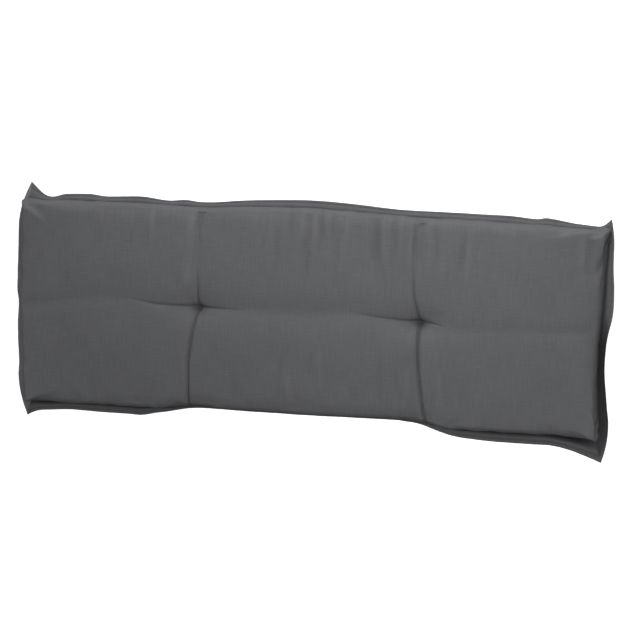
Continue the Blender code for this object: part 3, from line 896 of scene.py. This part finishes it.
def crinkled_share(x, y):
    """How much of the fine random crinkles shows at each place of the front."""
    middle = np.exp(-(((x - CRINKLED_MIDDLE) / CRINKLED_HALF_LENGTH) ** 4))
    upper = 1 / (1 + np.exp(-(y - CRINKLED_ABOVE) / CRINKLED_FADE))
    lower = CRINKLED_LOWER / (1 + np.exp((y - CRINKLED_BELOW) / CRINKLED_FADE))
    return CRINKLED_ELSEWHERE + (1 - CRINKLED_ELSEWHERE) * middle * (upper + lower)


def all_crinkles(x, y):
    """Listed and fine random crinkles together."""
    fine = soft_noise(x, y, *FINE_CRINKLE_CELL, 8)
    fine = fine + FINER_CRINKLE_SHARE * soft_noise(x, y, *FINER_CRINKLE_CELL, 9)
    return crinkles(x, y) + FINE_CRINKLE_HEIGHT * fine * crinkled_share(x, y)


def seam_gathers(x, y, height, seed):
    """Small gathers that run inward from the seam over the rolled edge."""
    near_end = np.minimum(x - x[:1, :], x[-1:, :] - x)
    near_side = np.minimum(y - y[:, :1], y[:, -1:] - y)
    by_side = near_side < near_end
    run = np.where(by_side, x, y)
    inward = np.where(by_side, near_side, near_end)
    wave = soft_noise(run, 0 * run, GATHER_CELL, 1, seed)
    wave = wave + 0.5 * soft_noise(run, 0 * run, GATHER_CELL * 0.45, 1, seed + 1)
    start = np.clip(height * 2.5, 0, 1)
    both = np.abs(near_side - near_end) / GATHER_CORNER_FADE
    return GATHER_HEIGHT * wave * start * np.exp(-inward / GATHER_REACH) * np.clip(both, 0, 1)


def dressed_front(points, height):
    """The fine front panel with its lines, crinkles, lumps and gathers."""
    x = points[:, :, 0]
    y = points[:, :, 1]
    inside = np.clip(1.3 * height, 0, 1) ** 2
    lift = sharp_lines(x, y) * np.clip(DIP_START * height, 0, 1) ** DIP_FADE
    lift = lift + all_crinkles(x, y) * inside
    lift = lift + LUMP_HEIGHT * soft_noise(x, y, LUMP_CELL, LUMP_CELL, 5) * inside
    lift = lift + seam_gathers(x, y, height, 14)
    return points + normals_of(points) * lift[:, :, None]


def dressed_back(points, height):
    """The fine back panel with gathers at the seam, flat where it rests."""
    x = points[:, :, 0]
    y = points[:, :, 1]
    lift = seam_gathers(x, y, height, 21)
    lift = lift * np.clip(points[:, :, 2] / (6 * MM), 0, 1)
    points = points - normals_of(points) * lift[:, :, None]
    points[:, :, 2] = np.clip(points[:, :, 2], 0.0, None)
    return points


def cloth_lengths(points, height):
    """Place of each point on the flat cloth, for the weave, in metres.

    Over the pad that is its place in plan. On the rolled edges the length over
    the roll counts instead, so that the weave isn't stretched there.
    """
    result = []
    for axis in (0, 1):
        plan = np.diff(points[:, :, axis], axis=axis)
        along = np.linalg.norm(np.diff(points, axis=axis), axis=2)
        level = np.minimum(np.delete(height, 0, axis), np.delete(height, -1, axis))
        step = np.where(level < 0.97, along, plan)
        length = np.cumsum(step, axis=axis)
        nought = np.zeros_like(np.take(length, [0], axis=axis))
        length = np.concatenate([nought, length], axis=axis)
        middle = length.shape[axis] // 2
        start = np.take(points[:, :, axis] - length, [middle], axis=axis)
        result.append(length + start)
    return np.stack(result, axis=2)


def set_map(made, name, per_vertex):
    """UV map from one pair of numbers per vertex."""
    mesh = made.data
    corners = np.zeros(len(mesh.loops), np.int32)
    mesh.loops.foreach_get("vertex_index", corners)
    layer = mesh.uv_layers.new(name=name)
    layer.data.foreach_set("uv", per_vertex[corners].astype(np.float32).ravel())


def set_cloth_maps(made, lengths, shade):
    """Maps of the weave, in metres, and of the painted shade: 1 is black, below 0 painted light
    makes it paler.
    """
    set_map(made, "cloth", lengths)
    set_map(made, "shade", np.column_stack([shade, np.zeros(len(shade))]))


def meet_at_seam(back, front):
    """Puts the back panel's border below the front panel's."""
    back[[0, -1], :, :2] = front[[0, -1], :, :2]
    back[:, [0, -1], :2] = front[:, [0, -1], :2]


def build_pad(shift):
    """The filled pad."""
    front, front_height = front_panel()
    back, back_height = back_panel()
    meet_at_seam(back, front)
    moves = simulate(front, back)
    front = front + capped(moves[0], front)
    back = back + capped(moves[1], back)
    front_height = finer(front_height)
    back_height = finer(back_height)
    front = dressed_front(finer(front), front_height)
    back = dressed_back(finer(back), back_height)
    meet_at_seam(back, front)
    columns, rows = front.shape[:2]
    points = np.concatenate([front.reshape(-1, 3), back.reshape(-1, 3)]) + shift
    pad = linked_mesh("cushion_pad", points, pad_faces(columns, rows))
    front_map = cloth_lengths(front, front_height).reshape(-1, 2)
    back_map = cloth_lengths(back, back_height).reshape(-1, 2)
    # Painted shade in the creases, tufts and crinkle troughs, and painted light on the crinkle
    # ridges.
    shade = crease_shade(front[:, :, 0], front[:, :, 1])
    shade = shade * np.clip(DIP_START * front_height, 0, 1) ** DIP_FADE
    shade = shade - CRINKLE_SHADE * all_crinkles(front[:, :, 0], front[:, :, 1]) / MM
    shade = np.concatenate([shade.ravel(), np.zeros(back[:, :, 0].size)])
    set_cloth_maps(pad, np.concatenate([front_map, back_map]), shade)
    return pad


FlangeSide = namedtuple("FlangeSide", "table shades normal along start end")
FLANGE_SIDES = [
    FlangeSide(FLANGE_BOTTOM, SHADE_BOTTOM, (0, -1), (1, 0), "bottom_left", "bottom_right"),
    FlangeSide(FLANGE_RIGHT, SHADE_RIGHT, (1, 0), (0, 1), "bottom_right", "top_right"),
    FlangeSide(FLANGE_TOP, SHADE_TOP, (0, 1), (-1, 0), "top_right", "top_left"),
    FlangeSide(FLANGE_LEFT, PAINTED_LIGHT_LEFT, (-1, 0), (0, -1), "top_left", "bottom_left"),
]


def side_points(seam):
    """Splits one side's seam into flange stations of about a step each."""
    points = []
    for a, b in zip(seam[:-1], seam[1:]):
        count = max(1, round(np.hypot(*(b - a)) / FLANGE_STEP))
        points.extend(a + (b - a) * k / count for k in range(count))
    return np.array(points)


def side_offsets(side, points, first, last):
    """Offset in plan, lift of the edge and crest at each point of a side."""
    normal = np.array(side.normal, float)
    along = np.array(side.along, float)
    place = points @ np.abs(along)
    reach = column(side.table, "reach", place)
    lift = column(side.table, "lift", place)
    crest = column(side.table, "crest", place)
    shift = np.zeros(len(points))
    for corner, name, outward in ((first, side.start, -along), (last, side.end, along)):
        tip = EARS[name]
        away = np.array([tip.x, tip.y]) * MM - corner
        distance = np.abs((points - corner) @ along)
        spread = tip.long_spread if side.along[0] else tip.end_spread
        near = np.clip(1 - distance / (spread * MM), 0, None)
        reach = reach + (away @ normal - reach) * near**EAR_SHARPNESS
        lift = lift + (tip.lift * MM - lift) * near**EAR_SHARPNESS
        shift = shift + outward @ along * (away @ outward) * near**EAR_SWEEP
    return reach[:, None] * normal + shift[:, None] * along, lift, crest


def mitred_normals(points):
    """Outward normals at the corners of a closed loop, scaled for an offset."""
    ahead = np.roll(points, -1, axis=0) - points
    ahead = ahead / np.linalg.norm(ahead, axis=1, keepdims=True)
    behind = np.roll(ahead, 1, axis=0)
    out_ahead = np.stack([ahead[:, 1], -ahead[:, 0]], axis=1)
    out_behind = np.stack([behind[:, 1], -behind[:, 0]], axis=1)
    total = out_ahead + out_behind
    return 2 * total / np.sum(total * total, axis=1, keepdims=True)


def flange_height(lift, crest, across):
    """Height of the flange over the seam, and how fast it rises across."""
    bump = np.exp(-(((across - CREST_PLACE) / CREST_SPREAD) ** 2))
    height = lift * across**LIFT_CURVE + crest * bump
    rising = lift * LIFT_CURVE * across ** (LIFT_CURVE - 1)
    rising = rising - crest * bump * 2 * (across - CREST_PLACE) / CREST_SPREAD**2
    return height, rising


class Flange:
    """The flange's stations: where it starts, how far and how high it goes."""

    def __init__(self, seam_sides):
        sides = []
        for seam, side in zip(seam_sides, FLANGE_SIDES):
            inner = side_points(seam)
            place = inner @ np.abs(np.array(side.along, float))
            shade = column(side.shades, "shade", place, 1)
            spread = column(side.shades, "spread", place, 1)
            offset, lift, crest = side_offsets(side, inner, seam[0], seam[-1])
            sides.append((inner, offset, lift, crest, shade, spread))
        joined = [np.concatenate(parts) for parts in zip(*sides)]
        points, self.offsets, self.lifts, self.crests, self.shades, self.spreads = joined
        self.start = points + mitred_normals(points) * SEAM_GAP
        self.reach = np.linalg.norm(self.offsets, axis=1)
        self.outward = self.offsets / self.reach[:, None]
        steps = np.linalg.norm(np.roll(self.start, -1, axis=0) - self.start, axis=1)
        self.run = np.concatenate([[0], np.cumsum(steps)[:-1]])
        ruffle = soft_noise(self.run, 0 * self.run, RUFFLE_CELL, 1, 41)
        ruffle = ruffle + 0.6 * soft_noise(self.run, 0 * self.run, RUFFLE_CELL * 0.4, 1, 42)
        self.ruffle = RUFFLE_HEIGHT * ruffle
        self.pinch = PINCH_DEPTH * soft_noise(self.run, 0 * self.run, PINCH_CELL, 1, 43)

    def ring(self, across, thickness, face):
        """One ring of points at a share of the way across, on one face."""
        height, rising = flange_height(self.lifts, self.crests, across)
        slope = rising / self.reach
        level = 1 / np.sqrt(1 + slope**2)
        middle = self.start + self.offsets * across
        height = SEAM_HEIGHT + height + self.ruffle * across**2
        puffed = thickness + self.pinch * np.sin(np.pi * across)
        half = face * puffed / 2
        plan = middle - self.outward * (slope * level * half)[:, None]
        return np.column_stack([plan, height + level * half])


def flange_shade(flange, across):
    """Painted shade on the flange at a share of the way across, at each station; painted light
    where a side's shade is negative.
    """
    under = 1 / (1 + np.exp((across - flange.spreads) / (SHADE_FADE / 3)))
    groove = GROOVE_SHADE * math.exp(-(((across - STITCH_INSET) / GROOVE_WIDTH) ** 2))
    edge = EDGE_SHADE * max(0.0, (across - 1) / GROOVE_WIDTH + 1)
    darker = np.maximum(flange.shades * under, groove + edge)
    # A negative shade is painted light and replaces the painted shade.
    return np.where(flange.shades < 0, flange.shades, darker)


def build_flange(flange, shift):
    """The stitched flange as one closed ring."""
    rings, lengths, shade = [], [], []
    for face, ribs in ((1, FLANGE_RIBS), (-1, FLANGE_RIBS[::-1])):
        for rib in ribs:
            rings.append(flange.ring(rib.across, rib.thickness, face))
            lengths.append(np.column_stack([flange.run, 0.5 + flange.reach * rib.across]))
            shade.append(flange_shade(flange, rib.across))
    count = len(rings[0])
    faces = []
    for ring in range(len(rings)):
        upper = ring * count
        lower = ((ring + 1) % len(rings)) * count
        for k in range(count):
            after = (k + 1) % count
            faces.append((upper + k, lower + k, lower + after, upper + after))
    made = linked_mesh("edge_flange_cloth", np.concatenate(rings) + shift, faces)
    set_cloth_maps(made, np.concatenate(lengths), np.concatenate(shade))
    return made


def stitch_mesh(centres, runs, ups):
    """Vertices and faces of one short rounded stitch at each centre."""
    arch = [(-0.5, 0.35, -0.6), (-0.36, 0.9, 0.25), (0.0, 1.0, 0.6)]
    profile = arch + [(-place, width, rise) for place, width, rise in arch[1::-1]]
    sides = STITCH_SIDES
    vertices, faces = [], []
    for centre, run, up in zip(centres, runs, ups):
        beside = np.cross(run, up)
        first = len(vertices)
        for place, width, rise in profile:
            middle = centre + run * place * STITCH_LENGTH + up * rise * STITCH_RADIUS
            for k in range(sides):
                angle = 2 * math.pi * k / sides
                around = beside * math.cos(angle) + up * math.sin(angle)
                vertices.append(middle + around * STITCH_RADIUS * width)
        for ring in range(len(profile) - 1):
            for k in range(sides):
                a = first + ring * sides + k
                b = first + ring * sides + (k + 1) % sides
                faces.append((a, b, b + sides, a + sides))
        faces.append(tuple(first + k for k in range(sides))[::-1])
        last = first + (len(profile) - 1) * sides
        faces.append(tuple(last + k for k in range(sides)))
    return vertices, faces


def stitch_places(loop, outward_loop):
    """Centres, directions and upward directions of stitches along a loop."""
    ahead = np.roll(loop, -1, axis=0) - loop
    steps = np.linalg.norm(ahead, axis=1)
    ends = np.concatenate([[0], np.cumsum(steps)])
    count = int(ends[-1] // STITCH_PITCH)
    at = (np.arange(count) + 0.5) * ends[-1] / count
    closed = np.concatenate([loop, loop[:1]])
    closed_out = np.concatenate([outward_loop, outward_loop[:1]])
    centres = np.column_stack([np.interp(at, ends, closed[:, k]) for k in range(3)])
    outward = np.column_stack([np.interp(at, ends, closed_out[:, k]) for k in range(3)])
    runs = np.roll(centres, -1, axis=0) - np.roll(centres, 1, axis=0)
    runs = runs / np.linalg.norm(runs, axis=1, keepdims=True)
    across = outward - centres
    ups = np.cross(across, runs)
    ups = ups / np.linalg.norm(ups, axis=1, keepdims=True)
    return centres, runs, ups


def build_stitches(flange, shift):
    """The two stitch lines of the flange, on both of its faces."""
    made = []
    for name, across, thickness in STITCH_LINES:
        vertices, faces = [], []
        for face in (1, -1):
            loop = flange.ring(across, thickness, face)
            outer = flange.ring(across + 0.03, thickness, face)
            centres, runs, ups = stitch_places(loop, outer)
            more, more_faces = stitch_mesh(centres, runs, ups * face)
            first = len(vertices)
            vertices.extend(more)
            faces.extend(tuple(first + k for k in face_row) for face_row in more_faces)
        made.append(linked_mesh(name, np.array(vertices) + shift, faces))
    return made


def build_tacks(front, shift):
    """Bar tacks: a few strands of thread across the bottom of each tuft."""
    made = []
    for number, tuft in enumerate(TUFTS):
        away = from_tuft(front, tuft)
        bottom = front[np.unravel_index(np.argmin(away), away.shape)]
        vertices, faces = [], []
        for strand in range(TACK_STRANDS):
            side = (strand - (TACK_STRANDS - 1) / 2) * TACK_SPACING
            ends = TACK_HALF_LENGTH + TACK_UNEVENNESS * (strand % 2)
            first = len(vertices)
            for t in np.linspace(-1, 1, TACK_STEPS + 1):
                height = TACK_HEIGHT - TACK_ARCH * t * t
                centre = bottom + np.array([t * ends, side + TACK_SLANT * t, height])
                for angle in np.arange(TACK_SIDES) * 2 * math.pi / TACK_SIDES:
                    ring = np.array([0, math.cos(angle), math.sin(angle)]) * TACK_RADIUS
                    vertices.append(centre + ring)
            for step in range(TACK_STEPS):
                for k in range(TACK_SIDES):
                    a = first + step * TACK_SIDES + k
                    b = first + step * TACK_SIDES + (k + 1) % TACK_SIDES
                    faces.append((a, a + TACK_SIDES, b + TACK_SIDES, b))
            last = first + TACK_STEPS * TACK_SIDES
            faces.append(tuple(first + k for k in range(TACK_SIDES)))
            faces.append(tuple(last + k for k in range(TACK_SIDES))[::-1])
        made.append(linked_mesh("tuft_tack_%d" % (number + 1), np.array(vertices) + shift, faces))
    return made


def seam_of(front):
    """The seam in plan as four runs, each ending where the next one starts."""
    plan = front[:, :, :2]
    return [plan[:, 0], plan[-1, :], plan[::-1, -1], plan[0, ::-1]]


def math_node(tree, operation, *inputs):
    """A math node with numbers or sockets as its inputs; returns its output."""
    node = tree.nodes.new("ShaderNodeMath")
    node.operation = operation
    for socket, value in zip(node.inputs, inputs):
        if isinstance(value, (int, float)):
            socket.default_value = value
        else:
            tree.links.new(value, socket)
    return node.outputs[0]


def noise_node(tree, vector, scale, detail, roughness=0.5):
    """A noise texture on a vector; returns its height output."""
    node = tree.nodes.new("ShaderNodeTexNoise")
    node.inputs["Scale"].default_value = scale
    node.inputs["Detail"].default_value = detail
    node.inputs["Roughness"].default_value = roughness
    tree.links.new(vector, node.inputs["Vector"])
    return node.outputs["Fac"]


def scaled_vector(tree, vector, x, y, z=1.0):
    """A vector with each part scaled."""
    node = tree.nodes.new("ShaderNodeVectorMath")
    node.operation = "MULTIPLY"
    tree.links.new(vector, node.inputs[0])
    node.inputs[1].default_value = (x, y, z)
    return node.outputs[0]


def range_node(tree, value, low, high, value_low=0.0, value_high=1.0):
    """A map of a value's range to another one; returns its output."""
    node = tree.nodes.new("ShaderNodeMapRange")
    tree.links.new(value, node.inputs["Value"])
    node.inputs["From Min"].default_value = value_low
    node.inputs["From Max"].default_value = value_high
    node.inputs["To Min"].default_value = low
    node.inputs["To Max"].default_value = high
    return node.outputs[0]


def add_tint(tree, colour, factor):
    """Sets the base colour to a colour times a factor."""
    tint = tree.nodes.new("ShaderNodeMix")
    tint.data_type = "RGBA"
    tint.blend_type = "MULTIPLY"
    tint.inputs["Factor"].default_value = 1.0
    tint.inputs["A"].default_value = (*colour, 1.0)
    tree.links.new(factor, tint.inputs["B"])
    shader = tree.nodes["Principled BSDF"]
    tree.links.new(tint.outputs["Result"], shader.inputs["Base Color"])


def add_relief(tree, height, strength, distance):
    """Bumps of a height field on the surface."""
    relief = tree.nodes.new("ShaderNodeBump")
    relief.inputs["Strength"].default_value = strength
    relief.inputs["Distance"].default_value = distance
    tree.links.new(height, relief.inputs["Height"])
    shader = tree.nodes["Principled BSDF"]
    tree.links.new(relief.outputs[0], shader.inputs["Normal"])


def map_node(tree, name):
    """A UV map of the mesh; returns its vector."""
    node = tree.nodes.new("ShaderNodeUVMap")
    node.uv_map = name
    return node.outputs[0]


def weave_height(tree, vector):
    """Plain weave: threads pass over and under each other like a chequerboard."""
    split = tree.nodes.new("ShaderNodeSeparateXYZ")
    wobble = noise_node(tree, vector, YARN_WOBBLE, 1.0)
    tree.links.new(vector, split.inputs[0])
    u = math_node(tree, "MULTIPLY", split.outputs[0], 1 / YARN_PITCH)
    v = math_node(tree, "MULTIPLY", split.outputs[1], 1 / YARN_PITCH)
    u = math_node(tree, "ADD", u, math_node(tree, "MULTIPLY", wobble, 0.5))
    v = math_node(tree, "ADD", v, math_node(tree, "MULTIPLY", wobble, 0.5))
    warp = math_node(tree, "SINE", math_node(tree, "MULTIPLY", u, math.pi))
    weft = math_node(tree, "SINE", math_node(tree, "MULTIPLY", v, math.pi))
    warp = math_node(tree, "ABSOLUTE", warp)
    weft = math_node(tree, "ABSOLUTE", weft)
    cells = math_node(tree, "ADD", math_node(tree, "FLOOR", u), math_node(tree, "FLOOR", v))
    over = math_node(tree, "PINGPONG", cells, 1.0)
    under = math_node(tree, "SUBTRACT", 1.0, over)
    warp = math_node(tree, "MULTIPLY", warp, over)
    weft = math_node(tree, "MULTIPLY", weft, under)
    return math_node(tree, "ADD", warp, weft)


def node_material(name):
    """A new material; returns it, its node tree and its shader."""
    material = bpy.data.materials.new(name)
    material.use_nodes = True
    return material, material.node_tree, material.node_tree.nodes["Principled BSDF"]


def cloth_material(name, colour):
    """Dull slubbed plain weave, with painted shade and painted light from the shade map."""
    material, tree, shader = node_material(name)
    vector = map_node(tree, "cloth")
    weft_slubs = noise_node(tree, scaled_vector(tree, vector, *WEFT_SLUBS), 1.0, 2.0)
    warp_slubs = noise_node(tree, scaled_vector(tree, vector, *WARP_SLUBS), 1.0, 2.0)
    speckles = noise_node(tree, vector, SPECKLES, 2.0, 0.7)
    cloudy = noise_node(tree, vector, CLOUDS, 3.0)
    mix = math_node(tree, "ADD", weft_slubs, warp_slubs)
    mix = math_node(tree, "ADD", mix, speckles)
    mix = math_node(tree, "MULTIPLY", mix, 0.9)
    mix = math_node(tree, "ADD", mix, math_node(tree, "MULTIPLY", cloudy, CLOUD_SHARE))
    # The shade map paints shade into the base colour, and paints light where it is below 0.
    split = tree.nodes.new("ShaderNodeSeparateXYZ")
    tree.links.new(map_node(tree, "shade"), split.inputs[0])
    light = math_node(tree, "SUBTRACT", 1.0, split.outputs[0])
    yarns = range_node(tree, mix, *TINT_RANGE, *TINT_FROM)
    add_tint(tree, colour, math_node(tree, "MULTIPLY", yarns, light))
    rough = range_node(tree, speckles, *ROUGHNESS_RANGE)
    tree.links.new(rough, shader.inputs["Roughness"])
    shader.inputs["Specular IOR Level"].default_value = 0.22
    shader.inputs["Sheen Weight"].default_value = 0.04
    shader.inputs["Sheen Roughness"].default_value = 0.5
    height = math_node(tree, "MULTIPLY", mix, 0.8)
    height = math_node(tree, "ADD", weave_height(tree, vector), height)
    add_relief(tree, height, WEAVE_STRENGTH, WEAVE_DEPTH)
    return material


def thread_material(name, colour):
    """Twisted sewing thread."""
    material, tree, shader = node_material(name)
    place = tree.nodes.new("ShaderNodeTexCoord").outputs["Object"]
    twist = noise_node(tree, place, 2500.0, 1.0)
    add_tint(tree, colour, range_node(tree, twist, 0.7, 1.3))
    shader.inputs["Roughness"].default_value = 0.7
    shader.inputs["Specular IOR Level"].default_value = 0.3
    add_relief(tree, twist, 0.5, 0.1 * MM)
    return material


def plain_material(name, colour):
    """Matt paint for the floor."""
    material, _, shader = node_material(name)
    shader.inputs["Base Color"].default_value = (*colour, 1.0)
    shader.inputs["Roughness"].default_value = 1.0
    shader.inputs["Specular IOR Level"].default_value = 0.0
    shader.inputs["Emission Color"].default_value = (1.0, 1.0, 1.0, 1.0)
    shader.inputs["Emission Strength"].default_value = FLOOR_GLOW
    return material


# Studio: soft lamps given by the direction they shine from, and the floor.
Lamp = namedtuple("Lamp", "name x y z size power")
LAMPS = [
    Lamp("top", 0.0, 3.2, 0.5, 1.4, 100.0),
    Lamp("front", 0.2, 0.3, 3.5, 2.2, 30.0),
    Lamp("front_right", 1.4, 0.4, 3.2, 1.6, 19.0),
    Lamp("near", 0.6, 1.2, 1.3, 0.8, 16.5),
    Lamp("near_low", 0.3, -0.25, 0.9, 0.6, 2.3),
    Lamp("left", -2.6, 0.1, 0.6, 1.2, 20.0),
    Lamp("bottom", 0.2, -2.8, 1.3, 2.0, 15.0),
]
WORLD_STRENGTH = 0.01
FLOOR_GLOW = 0.75
FLOOR_HALF_SIZE = 9
FLOOR_DROP = 0.5 * MM


def add_studio():
    """Floor, lamps and even surrounding light."""
    far = FLOOR_HALF_SIZE
    corners = [(-far, -far, 0), (far, -far, 0), (far, far, 0), (-far, far, 0)]
    floor = linked_mesh("floor", corners, [(0, 1, 2, 3)])
    floor.location.z = -FLOOR_DROP
    floor.data.materials.append(plain_material("floor_paint", FLOOR_GREY))
    floor.visible_diffuse = False
    floor.visible_glossy = False
    for row in LAMPS:
        light = bpy.data.lights.new(row.name, "AREA")
        light.shape = "DISK"
        light.size = row.size
        light.energy = row.power
        lamp = bpy.data.objects.new(row.name, light)
        lamp.location = (row.x, row.y, row.z)
        lamp.rotation_euler = Vector((row.x, row.y, row.z)).to_track_quat("Z", "Y").to_euler()
        bpy.context.scene.collection.objects.link(lamp)
    world = bpy.data.worlds.new("studio")
    world.use_nodes = True
    world.node_tree.nodes["Background"].inputs[0].default_value = (1, 1, 1, 1)
    world.node_tree.nodes["Background"].inputs[1].default_value = WORLD_STRENGTH
    bpy.context.scene.world = world
    bpy.context.scene.view_settings.view_transform = "Standard"


def add_camera():
    """Camera at the solved place of the photograph."""
    flat = math.cos(CAMERA_PITCH)
    ahead = math.cos(CAMERA_YAW) * flat
    back = Vector((math.sin(CAMERA_YAW) * flat, math.sin(CAMERA_PITCH), ahead))
    level = (-back).cross(Vector((0, 1, 0))).normalized()
    upright = level.cross(-back)
    right = level * math.cos(CAMERA_ROLL) + upright * math.sin(CAMERA_ROLL)
    up = upright * math.cos(CAMERA_ROLL) - level * math.sin(CAMERA_ROLL)
    placed = Matrix((right, up, back)).transposed().to_4x4()
    placed.translation = CAMERA_TARGET + CAMERA_DISTANCE * back
    data = bpy.data.cameras.new("camera")
    data.sensor_width = SENSOR_WIDTH
    data.lens = SENSOR_WIDTH * CAMERA_FOCAL_PIXELS / PHOTO_WIDTH
    camera = bpy.data.objects.new("camera", data)
    bpy.context.scene.collection.objects.link(camera)
    camera.matrix_world = placed
    bpy.context.scene.camera = camera


def frame_shift(flange):
    """How far the tables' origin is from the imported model's."""
    edge = flange.ring(1.0, 0.0, 1)
    middle = (edge.min(axis=0) + edge.max(axis=0)) / 2
    low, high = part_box("edge_flange")
    target = (low + high) / 2
    return np.array([target.x - middle[0], target.y - middle[1], 0.0])


def flat_area(flange):
    """Area of the flange laid flat."""
    steps = np.linalg.norm(np.roll(flange.start, -1, axis=0) - flange.start, axis=1)
    return float(np.sum(steps * flange.reach))


def main():
    front, _ = front_panel()
    flange = Flange(seam_of(front))
    shift = frame_shift(flange)
    pad = build_pad(shift)
    cloth_edge = build_flange(flange, shift)
    stitches = build_stitches(flange, shift)
    tacks = build_tacks(front, shift)
    pad.data.materials.append(cloth_material("pad_weave", CLOTH_GREY))
    cloth_edge.data.materials.append(cloth_material("flange_weave", CLOTH_GREY))
    thread = thread_material("sewing_thread", THREAD_GREY)
    for piece in stitches + tacks:
        piece.data.materials.append(thread)
    for piece in [pad, cloth_edge] + stitches + tacks:
        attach(piece, "root")
    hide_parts("cushion")
    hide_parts("edge_flange")
    area = flat_area(flange)
    add_studio()
    add_camera()


main()
